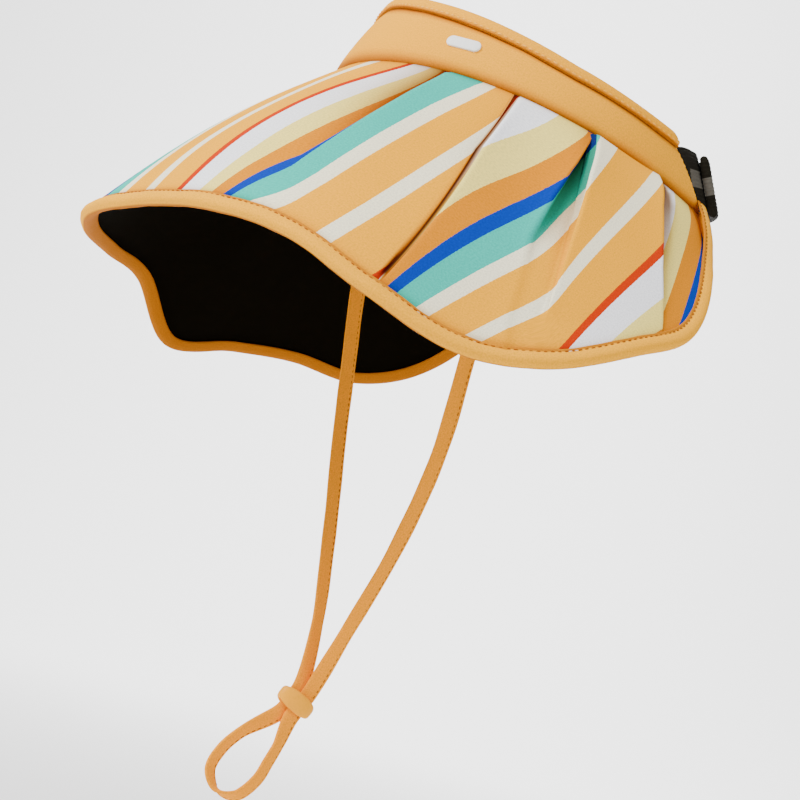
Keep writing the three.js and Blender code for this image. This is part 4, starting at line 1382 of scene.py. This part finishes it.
# %% Edge binding
BINDING_SECTION = [
    # distance in from the edge, height above the striped cloth
    (7.6, 0.35), (7.4, 0.85), (6.9, 1.12), (6.3, 1.0), (5.9, 0.8), (5.5, 1.0), (4.9, 1.3),
    (3.9, 1.52), (2.8, 1.64), (1.8, 1.56), (0.9, 1.12), (0.25, 0.3), (0.0, -0.7), (0.0, -1.9),
    (0.25, -2.9), (0.9, -3.75), (1.8, -4.2), (3.0, -4.35), (4.4, -4.2), (5.9, -3.95),
    (6.9, -3.7), (7.4, -3.3), (7.2, -2.75), (4.2, -2.7), (1.9, -2.6), (1.5, -1.2), (1.9, 0.15),
    (4.2, 0.22), (6.9, 0.2),
]
BINDING_TURN = 0.905             # place along the band where the binding leaves the wire's curve
# Points of the edge behind that, on the wearer's left, each with the place that it belongs to
BINDING_END = [
    (99.7, 67.3, -35.6, 0.945),
    (90.9, 69.9, -26.9, 0.96),
    (81.8, 71.8, -18.2, 0.972),
    (72.4, 73.0, -10.0, 0.98),
]
BINDING_STOPS = 161
BINDING_STATIONS = 620
UNDERSIDE_BELOW = -2.3
UNDERSIDE_SHADE = 0.34
SEWN_EDGE_FROM = 6.2
SEWN_EDGE_SHADE = 0.5
# The small pull of the stitches: its height, its lengths along and across the binding, and the
# share of it that is left on the faces against the cloth, which lie near the section's middle
PULL_HEIGHT = 0.12
PULL_LENGTH, PULL_WIDTH = 3.2, 4.0
PULL_INSIDE = 0.4
SECTION_MIDDLE, INSIDE_WITHIN = -1.3, 1.6
EDGE_WANDER = 0.1
WANDER_LENGTH = 11.0


def binding_frames(count):
    """Even points of the brim's edge, with the directions in over the cloth and out of it."""
    stops = np.linspace(-BINDING_TURN, BINDING_TURN, BINDING_STOPS)
    end = np.array(BINDING_END)
    guide = np.concatenate([end[::-1, :3] * [-1, 1, 1], brim_point(stops, 1.0), end[:, :3]])
    places = np.concatenate([-end[::-1, 3], stops, end[:, 3]])
    origin = through_points(guide, count)
    length = arc_lengths(origin)
    spots = arc_lengths(guide)
    place = np.interp(length, spots * length[-1] / spots[-1], places)
    normal = brim_normal(place, flat_from(place))
    tangent = np.gradient(origin, axis=0)
    inward = unit(np.cross(normal, tangent))
    out = np.cross(tangent, inward) / np.linalg.norm(tangent, axis=-1, keepdims=True)
    return origin, inward, out, length


def make_binding():
    section = np.array(BINDING_SECTION)
    origin, inward, normal, length = binding_frames(BINDING_STATIONS)
    pull = soft_noise(length[:, None] / PULL_LENGTH, section[None, :, 0] / PULL_WIDTH, seed=61)
    outside = np.abs(section[:, 1] - SECTION_MIDDLE) > INSIDE_WITHIN
    up = section[None, :, 1] + PULL_HEIGHT * pull * np.where(outside, 1.0, PULL_INSIDE)[None, :]
    wander = EDGE_WANDER * soft_noise(length[:, None] / WANDER_LENGTH, 0.0, seed=62)
    inside = section[None, :, 0] + wander
    rings = (origin[:, None] + inward[:, None] * inside[..., None]
             + normal[:, None] * up[..., None])
    around = arc_lengths(np.concatenate([section, section[:1]]))[:-1]
    uv = cloth_uv(length[:, None], around[None, :])
    shade = np.where(section[:, 1] < UNDERSIDE_BELOW, UNDERSIDE_SHADE, 1.0)
    sewn_edge = (section[:, 0] > SEWN_EDGE_FROM) & (section[:, 1] > 0)
    shade = shade * np.where(sewn_edge, SEWN_EDGE_SHADE, 1.0)
    return face_outward(swept_piece("edge_binding", rings, uv, shade))


binding = make_binding()
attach(binding, "root")
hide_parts("brim_binding")
print("binding triangles:", 2 * len(binding.data.polygons))

# %% [markdown]
# ## The stretch strap
# Black webbing closes the band behind. It leaves each slanted end square to the cut and leans in
# over the back of the head. A second layer, the free end of the adjustable strap, lies over it
# on the wearer's left and stands off a little. Fine ribs run along the webbing.

# %% Stretch strap
STRETCH_HEIGHT = 28.0
STRETCH_THICKNESS = 1.6
STRETCH_STATIONS = 240
STRETCH_INSET = 5.6
STRETCH_SEWN = [(0.905, 7.0), (0.94, 13.5)]      # places along the band and up it
STRETCH_ROWS = [
    # x, y, z of the middle line, and the lean in degrees
    (60.5, 73, 7, 24), (46, 81.5, 9, 29), (23, 87, 10.5, 30), (0, 88.5, 11, 30),
]
TAB_HEIGHT = 29.0
TAB_THICKNESS = 4.4
TAB_STATIONS = 70
TAB_OUTSET = 4.0
TAB_ROWS = [(61.5, 73, 4.8, 23), (55, 77.5, 6.2, 24), (42, 83.2, 8.5, 26), (26, 86.5, 10, 28)]
RIB_PITCH = 1.9
RIB_HEIGHT = 0.13
RIB_STEPS = 61
STRETCH_WAVE = 0.25
STRETCH_WAVE_LENGTH = 14.0
STRETCH_WAVES_ACROSS = 1.5
EDGE_ROUNDING = 12               # the higher, the squarer the webbing's two edges


def stretch_stop(x, y, z, lean, outset):
    """A stop of the strap behind the head, leaning in by an angle and moved out by outset."""
    outward = np.array([x, y, 0.0]) / math.hypot(x, y)
    across = np.array([0, 0, math.cos(math.radians(lean))]) - outward * math.sin(math.radians(lean))
    return [*(np.array([x, y, z]) + outward * outset), *across]


def sewn_stop(along, up):
    """A stop of the strap inside the band's slanted end, square to the slant."""
    half_slant = BAND_END_SLANT / 2
    half_up = (BAND_SIDE_HEIGHT + ROLL_END_HEIGHT) / 2
    top = band_point(along - half_slant, up + half_up, -STRETCH_INSET)
    bottom = band_point(along + half_slant, up - half_up, -STRETCH_INSET)
    return [*band_point(along, up, -STRETCH_INSET), *(top - bottom)]


def webbing(name, route, height, thickness, stations):
    """A ribbed band of webbing along a route, and its length."""
    centre, across, out = tape_frames(np.array(route, float), stations)
    length = arc_lengths(centre)
    share = np.linspace(-1, 1, RIB_STEPS)
    ribs = RIB_HEIGHT * np.cos(2 * np.pi * share * height / 2 / RIB_PITCH)
    thin = np.sqrt(1 - np.abs(share) ** EDGE_ROUNDING)
    wave = STRETCH_WAVE * soft_noise(
        length[:, None] / STRETCH_WAVE_LENGTH, share[None, :] * STRETCH_WAVES_ACROSS, seed=71)
    sheets = []
    for sign in (1, -1):
        off = sign * (thickness / 2 - RIB_HEIGHT + ribs) * thin
        sheets.append(centre[:, None] + across[:, None] * (share * height / 2)[None, :, None]
                      + out[:, None] * (off[None, :] + wave)[..., None])
    uv = cloth_uv(length[:, None], (share * height / 2)[None, :])
    return face_outward(wall_piece(name, sheets[0], sheets[1], uv)), length[-1]


def make_straps():
    left = [sewn_stop(*row) for row in STRETCH_SEWN]
    left += [stretch_stop(*row, 0.0) for row in STRETCH_ROWS]
    right = [[-x, y, z, -a, b, c] for x, y, z, a, b, c in left[:-1]][::-1]
    strap, length = webbing("back_strap_webbing", left + right, STRETCH_HEIGHT,
                            STRETCH_THICKNESS, STRETCH_STATIONS)
    tab_route = [stretch_stop(*row, TAB_OUTSET) for row in TAB_ROWS]
    tab, tab_length = webbing("back_strap_free_end", tab_route, TAB_HEIGHT, TAB_THICKNESS,
                              TAB_STATIONS)
    return strap, length, tab, tab_length


back_strap, strap_length, strap_tab, tab_length = make_straps()
for piece, node in ((back_strap, "back_strap"), (strap_tab, "strap_tab")):
    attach(piece, "root")
    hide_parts(node)
print(f"stretch strap {strap_length:.0f} mm, free end {tab_length:.0f} mm")

# %% [markdown]
# ## The cut cloth
# The brim's cut is a crescent: its area is the area of the folded sheet, risers and pocket too. The
# lining has no pleats, so it takes less cloth.


# %% [markdown]
# ## Helpers for nodes
# Stitches and finishes are made with nodes. These helpers add a node with its settings, start a
# node group with its sockets, and write sums of node outputs in one line.


# %% Node helpers
MIX_FIRST, MIX_SECOND, MIX_RESULT = 6, 7, 2      # the Mix node's sockets for colours


def set_inputs(node, values):
    for name, value in values.items():
        node.inputs[name].default_value = value


def add_node(tree, kind, settings=None, values=None):
    node = tree.nodes.new(kind)
    for name, value in (settings or {}).items():
        setattr(node, name, value)
    set_inputs(node, values or {})
    return node


def new_group(name, kind, given, made):
    """A node group with its sockets, and the nodes that stand for its inputs and outputs."""
    tree = bpy.data.node_groups.new(name, kind)
    for way, sockets in (("INPUT", given), ("OUTPUT", made)):
        for label, socket_kind, value in sockets:
            socket = tree.interface.new_socket(
                label, in_out=way, socket_type="NodeSocket" + socket_kind)
            if value is not None:
                socket.default_value = value
    return tree, tree.nodes.new("NodeGroupInput"), tree.nodes.new("NodeGroupOutput")


def math_node(tree, operation, first, second=None):
    node = add_node(tree, "ShaderNodeMath", {"operation": operation})
    for index, value in enumerate((first, second)):
        if value is None:
            continue
        if isinstance(value, (int, float)):
            node.inputs[index].default_value = value
        else:
            tree.links.new(value, node.inputs[index])
    return node.outputs[0]


def around_zero(tree, value, strength):
    """A value between 0 and 1, moved to lie around nothing and scaled."""
    return math_node(tree, "MULTIPLY", math_node(tree, "SUBTRACT", value, 0.5), strength)


def noise_at(tree, place, scale, detail):
    noise = add_node(tree, "ShaderNodeTexNoise", {"noise_dimensions": "3D"},
                     {"Scale": scale, "Detail": detail})
    tree.links.new(place, noise.inputs["Vector"])
    return noise.outputs["Fac"]


def split_axes(tree, vector):
    split = tree.nodes.new("ShaderNodeSeparateXYZ")
    tree.links.new(vector, split.inputs[0])
    return split.outputs


print("Blender", bpy.app.version_string)

# %% [markdown]
# ## Stitches
# A row of stitches is one short, rounded bar of thread repeated along a line. That is a job for
# Geometry Nodes: the line is resampled at the pitch, a bar is placed on each point and turned
# along the line, and a seeded random size keeps the row from looking stamped.

# %% Stitch tree
SMALLEST_STITCH, LARGEST_STITCH = 0.85, 1.12     # shares of the thread's size


def stitch_tree():
    tree, given, made = new_group("stitch_row", "GeometryNodeTree", [
        ("Geometry", "Geometry", None),
        ("Pitch", "Float", 0.003),
        ("Thread length", "Float", 0.002),
        ("Thread width", "Float", 0.0006),
        ("Seed", "Int", 1),
        ("Thread", "Material", None),
    ], [("Geometry", "Geometry", None)])
    line = add_node(tree, "GeometryNodeResampleCurve", {"mode": "LENGTH"})
    bar = add_node(tree, "GeometryNodeMeshUVSphere",
                   values={"Segments": 6, "Rings": 5, "Radius": 0.5})
    tangent = add_node(tree, "GeometryNodeInputTangent")
    turn = add_node(tree, "FunctionNodeAlignRotationToVector", {"axis": "X"})
    vary = add_node(tree, "FunctionNodeRandomValue", {"data_type": "FLOAT"},
                    {2: SMALLEST_STITCH, 3: LARGEST_STITCH})
    size = add_node(tree, "ShaderNodeCombineXYZ")
    scaled = add_node(tree, "ShaderNodeVectorMath", {"operation": "SCALE"})
    place = add_node(tree, "GeometryNodeInstanceOnPoints")
    real = add_node(tree, "GeometryNodeRealizeInstances")
    smooth = add_node(tree, "GeometryNodeSetShadeSmooth")
    paint = add_node(tree, "GeometryNodeSetMaterial")
    for source, output, target, socket in (
        (given, "Geometry", line, "Curve"),
        (given, "Pitch", line, "Length"),
        (given, "Thread length", size, "X"),
        (given, "Thread width", size, "Y"),
        (given, "Thread width", size, "Z"),
        (given, "Seed", vary, "Seed"),
        (size, "Vector", scaled, 0),
        (vary, 1, scaled, "Scale"),
        (tangent, "Tangent", turn, "Vector"),
        (line, "Curve", place, "Points"),
        (bar, "Mesh", place, "Instance"),
        (turn, "Rotation", place, "Rotation"),
        (scaled, "Vector", place, "Scale"),
        (place, "Instances", real, "Geometry"),
        (real, "Geometry", smooth, "Geometry"),
        (smooth, "Geometry", paint, "Geometry"),
        (given, "Thread", paint, "Material"),
        (paint, "Geometry", made, "Geometry"),
    ):
        tree.links.new(source.outputs[output], target.inputs[socket])
    return tree


STITCH_TREE = stitch_tree()
print("stitch inputs:", [item.name for item in STITCH_TREE.interface.items_tree])


# %% Stitch rows
def stitch_row(name, lines, pitch, length, width, seed, material, slot):
    """Stitches along one or more lines of points, as a plain mesh piece."""
    curve = bpy.data.curves.new(name + "_line", "CURVE")
    curve.dimensions = "3D"
    for line in lines:
        spline = curve.splines.new("POLY")
        spline.points.add(len(line) - 1)
        for point, co in zip(spline.points, np.asarray(line) * MM):
            point.co = (*co, 1.0)
    holder = bpy.data.objects.new(name + "_line", curve)
    bpy.context.scene.collection.objects.link(holder)
    modifier = holder.modifiers.new("stitches", "NODES")
    modifier.node_group = STITCH_TREE
    values = {"Pitch": pitch * MM, "Thread length": length * MM, "Thread width": width * MM,
              "Seed": seed, "Thread": material}
    for item in STITCH_TREE.interface.items_tree:
        if item.in_out == "INPUT" and item.name in values:
            modifier[item.identifier] = values[item.name]
    graph = bpy.context.evaluated_depsgraph_get()
    mesh = bpy.data.meshes.new_from_object(holder.evaluated_get(graph))
    mesh.name = name
    piece = bpy.data.objects.new(name, mesh)
    bpy.context.scene.collection.objects.link(piece)
    bpy.data.objects.remove(holder)
    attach(piece, "root")
    print(name, "faces:", len(mesh.polygons))
    return piece


# %% [markdown]
# ## Finishes
# The cloths share one weave, so it is a node group: fine warp and weft ridges with a little
# unevenness, measured in the UV map's millimetres. A second group gives the slow, cloudy change
# in tone that dyed cloth has, and multiplies in the painted shade of folds and hollows. In a
# crease the light has bounced between warm cloths, so the painted shade loses blue first and red
# last.

# %% Shared groups
RIDGE_SHARE = 0.5                # heights of the weave's ridges and of the thread's thick places
SLUB_SHARE = 0.9
SLUB_SCALE = 1.6
FLECK_SCALE = 1.3
FLECK_CONTRAST = 0.62
CLOUD_SCALE = 14.0
CLOUD_CONTRAST = 0.16
SHADOW_POWERS = (0.8, 1.15, 1.5)                 # red, green, blue


def weave_group():
    tree, given, made = new_group("plain_weave", "ShaderNodeTree", [
        ("Cloth", "Vector", None), ("Thread", "Float", 0.45),
    ], [("Height", "Float", None), ("Fleck", "Float", None)])
    cloth = given.outputs["Cloth"]
    axes = split_axes(tree, cloth)
    waves = []
    for axis in ("X", "Y"):
        turns = math_node(tree, "DIVIDE", axes[axis], given.outputs["Thread"])
        waves.append(math_node(tree, "SINE", math_node(tree, "MULTIPLY", turns, math.pi)))
    ridge = math_node(tree, "MULTIPLY", math_node(tree, "MULTIPLY", *waves), RIDGE_SHARE)
    slub = math_node(tree, "MULTIPLY", noise_at(tree, cloth, SLUB_SCALE, 3.0), SLUB_SHARE)
    tree.links.new(math_node(tree, "ADD", ridge, slub), made.inputs["Height"])
    tree.links.new(noise_at(tree, cloth, FLECK_SCALE, 2.0), made.inputs["Fleck"])
    return tree


def tone_and_shade_group():
    tree, given, made = new_group("cloudy_tone_and_painted_shade", "ShaderNodeTree", [
        ("Colour", "Color", None), ("Place", "Vector", None),
        ("Fleck", "Float", None), ("Shade", "Float", 1.0),
    ], [("Colour", "Color", None)])
    cloud = noise_at(tree, given.outputs["Place"], CLOUD_SCALE, 3.0)
    slow = around_zero(tree, cloud, CLOUD_CONTRAST)
    fine = around_zero(tree, given.outputs["Fleck"], FLECK_CONTRAST)
    value = math_node(tree, "ADD", 1.0, math_node(tree, "ADD", slow, fine))
    tint = tree.nodes.new("ShaderNodeCombineColor")
    for channel, power in zip(("Red", "Green", "Blue"), SHADOW_POWERS):
        depth = math_node(tree, "POWER", given.outputs["Shade"], power)
        tree.links.new(math_node(tree, "MULTIPLY", depth, value), tint.inputs[channel])
    mix = add_node(tree, "ShaderNodeMix", {"data_type": "RGBA", "blend_type": "MULTIPLY"},
                   {"Factor": 1.0})
    tree.links.new(given.outputs["Colour"], mix.inputs[MIX_FIRST])
    tree.links.new(tint.outputs["Color"], mix.inputs[MIX_SECOND])
    tree.links.new(mix.outputs[MIX_RESULT], made.inputs["Colour"])
    return tree


WEAVE = weave_group()
TONE_AND_SHADE = tone_and_shade_group()
print("shared groups:", WEAVE.name, "and", TONE_AND_SHADE.name)


# %% Parts of every material
def linear(code):
    """A colour written as #RRGGBB, as the linear values that shaders use."""
    parts = [int(code[k:k + 2], 16) / 255 for k in (1, 3, 5)]
    return (*[v / 12.92 if v <= 0.04045 else ((v + 0.055) / 1.055) ** 2.4 for v in parts], 1.0)


def new_material(name, values):
    """A material, its tree and its shader, with values set on the shader's own sockets."""
    material = bpy.data.materials.new(name)
    material.use_nodes = True
    shader = material.node_tree.nodes["Principled BSDF"]
    set_inputs(shader, values)
    return material, material.node_tree, shader


def roughen(tree, shader, roughness, spread, grain):
    """Lets the roughness go up and down with a grain, by spread in all."""
    varied = math_node(tree, "MULTIPLY", grain, spread)
    rough = math_node(tree, "ADD", roughness - spread / 2, varied)
    tree.links.new(rough, shader.inputs["Roughness"])


def emboss(tree, shader, height, strength, relief):
    """A bump whose relief is given in metres."""
    bump = add_node(tree, "ShaderNodeBump", values={"Strength": strength, "Distance": relief})
    tree.links.new(height, bump.inputs["Height"])
    tree.links.new(bump.outputs["Normal"], shader.inputs["Normal"])


print("middle grey is", round(linear("#808080")[0], 3), "as a linear value")

# %% [markdown]
# ## Cloths
# Apricot cloth, binding, chin tape and lining differ in colour, thread and shine. The brim's print
# is a ramp with hard steps over one repeat, and a little noise lets the dye bleed at the steps.

# %% Cloth materials
SHEEN_SHARE = 0.25               # sheen for each unit of shine
SHEEN_ROUGHNESS = 0.45
CLOTH_ROUGHNESS_SPREAD = 0.12
WEAVE_RELIEF = 0.00012
BLEED_SCALE = 0.9
BLEED_WIDTH = 0.5


def cloth_material(name, colour, thread, roughness, shine, bump, colour_nodes=None):
    """A woven cloth. colour is one colour, or colour_nodes makes an output from the UV vector."""
    material, tree, shader = new_material(name, {
        "Sheen Weight": shine * SHEEN_SHARE,
        "Sheen Roughness": SHEEN_ROUGHNESS,
        "Specular IOR Level": shine,
    })
    place = tree.nodes.new("ShaderNodeTexCoord")
    cloth = add_node(tree, "ShaderNodeUVMap", {"uv_map": "cloth"})
    weave = add_node(tree, "ShaderNodeGroup", {"node_tree": WEAVE}, {"Thread": thread})
    tone = add_node(tree, "ShaderNodeGroup", {"node_tree": TONE_AND_SHADE}, {"Colour": linear(colour)})
    # The shade attribute holds painted shade, which the tone group multiplies into the colour
    crease = add_node(tree, "ShaderNodeAttribute", {"attribute_name": "shade"})
    tree.links.new(cloth.outputs["UV"], weave.inputs["Cloth"])
    tree.links.new(place.outputs["Object"], tone.inputs["Place"])
    tree.links.new(weave.outputs["Fleck"], tone.inputs["Fleck"])
    tree.links.new(crease.outputs["Fac"], tone.inputs["Shade"])
    if colour_nodes:
        tree.links.new(colour_nodes(tree, cloth.outputs["UV"]), tone.inputs["Colour"])
    tree.links.new(tone.outputs["Colour"], shader.inputs["Base Color"])
    roughen(tree, shader, roughness, CLOTH_ROUGHNESS_SPREAD, weave.outputs["Fleck"])
    emboss(tree, shader, weave.outputs["Height"], bump, WEAVE_RELIEF)
    return material


def stripe_colours(tree, cloth):
    """The printed stripes, as a ramp over one repeat of the pattern."""
    wobble = around_zero(tree, noise_at(tree, cloth, BLEED_SCALE, 2.0), BLEED_WIDTH)
    across = math_node(tree, "ADD", split_axes(tree, cloth)["X"], wobble)
    share = math_node(tree, "FRACT", math_node(tree, "DIVIDE", across, STRIPE_REPEAT))
    ramp = tree.nodes.new("ShaderNodeValToRGB")
    ramp.color_ramp.interpolation = "CONSTANT"
    stops = ramp.color_ramp.elements
    start = 0.0
    for index, (_, width, colour) in enumerate(STRIPES):
        stop = stops[0] if index == 0 else stops.new(start / STRIPE_REPEAT)
        stop.position = start / STRIPE_REPEAT
        stop.color = linear(colour)
        start += width
    stops.remove(stops[len(stops) - 1])
    tree.links.new(share, ramp.inputs["Fac"])
    return ramp.outputs["Color"]


# Name, colour, thread in millimetres, roughness, shine and strength of the bump
APRICOT = cloth_material("apricot_weave", "#F6A810", 0.42, 0.8, 0.05, 0.45)
BINDING = cloth_material("binding_weave", "#F8AC14", 0.4, 0.8, 0.05, 0.45)
TAPE = cloth_material("tape_weave", "#FA9C12", 0.45, 0.82, 0.04, 0.5)
LINING = cloth_material("lining_coated", "#0A0703", 0.4, 0.9, 0.01, 0.3)
STRIPED = cloth_material("striped_print", "#F4A814", 0.36, 0.8, 0.03, 0.3, stripe_colours)
print("cloths:", ", ".join(cloth.name for cloth in (APRICOT, BINDING, TAPE, LINING, STRIPED)))

# %% [markdown]
# ## Webbing, bead, badge and thread
# Stretch webbing is ribbed and nearly black, with a row of plain grey blocks woven along its
# middle. The bead is slightly glossy plastic with a faint mottle. The badge is satin white print.
# Threads are a shade off the cloth that they hold.

# %% Webbing, bead and thread materials
BLOCK_LENGTH = 11.0
BLOCK_GAP = 5.0
BLOCK_HALF_HEIGHT = 4.2
WEBBING_COLOUR = "#1C1912"
BLOCK_COLOUR = "#5A564E"
# A moulded surface: its shine, its thin coat, and how much its mottle changes tone and gloss
MOULDED_SHINE = 0.18
COAT, COAT_ROUGHNESS = 0.04, 0.3
MOTTLE_CONTRAST = 0.3
MOULDED_ROUGHNESS_SPREAD = 0.16
MOULDED_RELIEF = 0.0001


def webbing_colours(tree, cloth):
    axes = split_axes(tree, cloth)
    repeat = BLOCK_LENGTH + BLOCK_GAP
    turn = math_node(tree, "FRACT", math_node(tree, "DIVIDE", axes["X"], repeat))
    spot = math_node(tree, "MULTIPLY", turn, repeat)
    in_block = math_node(tree, "LESS_THAN", spot, BLOCK_LENGTH)
    height = math_node(tree, "ABSOLUTE", axes["Y"])
    in_row = math_node(tree, "LESS_THAN", height, BLOCK_HALF_HEIGHT)
    mix = add_node(tree, "ShaderNodeMix", {"data_type": "RGBA"},
                   {MIX_FIRST: linear(WEBBING_COLOUR), MIX_SECOND: linear(BLOCK_COLOUR)})
    tree.links.new(math_node(tree, "MULTIPLY", in_block, in_row), mix.inputs[0])
    return mix.outputs[MIX_RESULT]


WEBBING = cloth_material("stretch_webbing", WEBBING_COLOUR, 0.6, 0.82, 0.06, 0.6, webbing_colours)


def moulded_material(name, colour, roughness, mottle_scale, bump):
    material, tree, shader = new_material(name, {
        "Specular IOR Level": MOULDED_SHINE,
        "Coat Weight": COAT,
        "Coat Roughness": COAT_ROUGHNESS,
    })
    place = tree.nodes.new("ShaderNodeTexCoord")
    mottle = noise_at(tree, place.outputs["Object"], mottle_scale, 4.0)
    tone = add_node(tree, "ShaderNodeGroup", {"node_tree": TONE_AND_SHADE}, {"Colour": linear(colour)})
    tree.links.new(place.outputs["Object"], tone.inputs["Place"])
    faint = math_node(tree, "MULTIPLY", mottle, MOTTLE_CONTRAST)
    faint = math_node(tree, "ADD", faint, (1 - MOTTLE_CONTRAST) / 2)
    tree.links.new(faint, tone.inputs["Fleck"])
    tree.links.new(tone.outputs["Colour"], shader.inputs["Base Color"])
    roughen(tree, shader, roughness, MOULDED_ROUGHNESS_SPREAD, mottle)
    emboss(tree, shader, mottle, bump, MOULDED_RELIEF)
    return material


# Name, colour, roughness, scale of the mottle and strength of the bump
BEAD = moulded_material("bead_plastic", "#FFAA04", 0.42, 900.0, 0.2)
BADGE = moulded_material("badge_print", "#F4F3EE", 0.5, 1400.0, 0.25)
THREAD = moulded_material("thread_apricot", "#F6B440", 0.7, 2200.0, 0.5)
DARK_THREAD = moulded_material("thread_brown", "#9A4E06", 0.75, 2200.0, 0.5)

for piece, material in (
    (chin_strap, TAPE), (bead, BEAD), (band, APRICOT), (roll, APRICOT), (badge, BADGE),
    (brim, STRIPED), (lining, LINING), (binding, BINDING), (back_strap, WEBBING),
    (strap_tab, WEBBING),
):
    piece.data.materials.append(material)
print("materials:", len(bpy.data.materials))

# %% [markdown]
# ## Sewing the stitch rows
# Rows follow the groove under the roll, the slanted ends of the band, the inner edge of the
# binding, and one edge of the chin strap on both of its faces.

# %% Sewing
GROOVE_STITCH_OUT = 1.75
GROOVE_STITCH_SHARE = 0.13
GROOVE_STITCH_MARGIN = 0.01
GROOVE_STEPS = 500
END_STITCH_IN = 2.0
END_STITCH_SHARES = (0.1, 0.95)
END_STITCH_SUNK = 0.2
END_STEPS = 40
OUTER_FACE = slice(4, 16)        # the rows of the band's section that make its outer face
BINDING_STITCH_IN = 5.9
BINDING_STITCH_UP = 0.98
BINDING_STITCH_STEPS = 900
TAPE_STITCH_OUT = 0.6


def groove_line():
    end = ROLL_END - GROOVE_STITCH_MARGIN
    along = np.linspace(-end, end, GROOVE_STEPS)
    up = groove_height(along) + roll_rise(along) * GROOVE_STITCH_SHARE
    return band_point(along, up, GROOVE_STITCH_OUT)


def end_line(side):
    share = np.linspace(*END_STITCH_SHARES, END_STEPS)
    column = side * (1 - END_STITCH_IN / HALF_BAND)
    along = column * (1 - BAND_END_SLANT * share)
    up = share * groove_height(np.full_like(share, column * ROLL_END))
    profile = np.array(BAND_SECTION[OUTER_FACE])
    out = np.interp(share, profile[:, 0], profile[:, 1]) - END_STITCH_SUNK
    return band_point(along, up, out)


def binding_line():
    origin, inward, normal, _ = binding_frames(BINDING_STITCH_STEPS)
    return origin + inward * BINDING_STITCH_IN + normal * BINDING_STITCH_UP


def tape_line(sign):
    return tape_centre + tape_across * TAPE_STITCH_ACROSS + tape_out * TAPE_STITCH_OUT * sign


STITCH_ROWS = [
    # name, lines, pitch, length and width of a stitch, seed, thread and slot
    ("groove_stitches", [groove_line()], STITCH_PITCH, 2.3, 0.75, 3, THREAD, "apricot_cloth"),
    ("band_end_stitches", [end_line(1), end_line(-1)], 2.6, 1.9, 0.6, 4, THREAD, "apricot_cloth"),
    ("binding_stitches", [binding_line()], 3.0, 1.9, 0.55, 5, DARK_THREAD, "apricot_binding"),
    ("tape_stitches", [tape_line(1), tape_line(-1)], 2.9, 1.8, 0.5, 6, DARK_THREAD, "orange_tape"),
]
for row in STITCH_ROWS:
    stitch_row(*row)
print("stitch rows:", len(STITCH_ROWS))

# %% [markdown]
# ## Studio
# The hat hangs as if a head held it, so the floor lies below its loop. A pale floor that curves up
# into a backdrop has no horizon line. The light is soft: a bright surrounding, a key light high
# in front of the brim, and a weak light from the camera's side. A third lamp, behind the hat, is
# turned to the backdrop.

# %% Studio
FLOOR_HEIGHT = -0.36
FLOOR_FRONT = -3.2
BACKDROP_NEAR = 1.6
BACKDROP_BEND = 1.6
BACKDROP_BEND_STEPS = 12
BACKDROP_TOP = 4.0
BACKDROP_HALF_WIDTH = 5.0
BACKDROP_COLOUR = (0.95, 0.95, 0.95, 1)
WORLD_STRENGTH = 0.72
LAMPS = [
    # name, place and aim in metres, width in metres, power in watts
    ("key", (0.25, -1.35, 1.1), (0, 0, -0.05), 0.8, 47),
    ("front", (1.6, 0.3, 0.9), (0, 0, -0.1), 1.2, 9),
    ("wall", (-1.1, 0.55, 1.5), (-2.6, 0.9, 0.2), 1.5, 125),
]


def backdrop_profile():
    """Distances away from the camera and heights, from the floor's front to the wall's top."""
    profile = [(FLOOR_FRONT, 0.0)]
    for angle in np.linspace(0, math.pi / 2, BACKDROP_BEND_STEPS + 1):
        profile.append((BACKDROP_NEAR + BACKDROP_BEND * math.sin(angle),
                        BACKDROP_BEND * (1 - math.cos(angle))))
    return profile + [(BACKDROP_NEAR + BACKDROP_BEND, BACKDROP_TOP)]


def make_backdrop():
    back = Vector((math.sin(CAMERA_AZIMUTH), -math.cos(CAMERA_AZIMUTH), 0))
    right = Vector((math.cos(CAMERA_AZIMUTH), math.sin(CAMERA_AZIMUTH), 0))
    profile = backdrop_profile()
    points = []
    for away, height in profile:
        for side in (-1, 1):
            spot = right * side * BACKDROP_HALF_WIDTH - back * away
            points.append((spot.x, spot.y, FLOOR_HEIGHT + height))
    faces = [(2 * k, 2 * k + 1, 2 * k + 3, 2 * k + 2) for k in range(len(profile) - 1)]
    mesh = bpy.data.meshes.new("backdrop")
    mesh.from_pydata(points, [], faces)
    mesh.polygons.foreach_set("use_smooth", [True] * len(faces))
    backdrop = bpy.data.objects.new("backdrop", mesh)
    bpy.context.scene.collection.objects.link(backdrop)
    paint, _, _ = new_material("backdrop_paint", {
        "Base Color": BACKDROP_COLOUR,
        "Roughness": 0.9,
        "Specular IOR Level": 0.1,
    })
    mesh.materials.append(paint)


def add_lamp(name, place, aim, width, power):
    light = bpy.data.lights.new(name, "AREA")
    light.shape = "DISK"
    light.size = width
    light.energy = power
    lamp = bpy.data.objects.new(name, light)
    lamp.location = place
    lamp.rotation_euler = (Vector(aim) - Vector(place)).to_track_quat("-Z", "Y").to_euler()
    bpy.context.scene.collection.objects.link(lamp)


def light_world():
    world = bpy.data.worlds.new("studio")
    bpy.context.scene.world = world
    world.use_nodes = True
    set_inputs(world.node_tree.nodes["Background"],
               {"Color": (1, 1, 1, 1), "Strength": WORLD_STRENGTH})


make_backdrop()
light_world()
for lamp in LAMPS:
    add_lamp(*lamp)
print("studio ready:", len(LAMPS), "lamps")
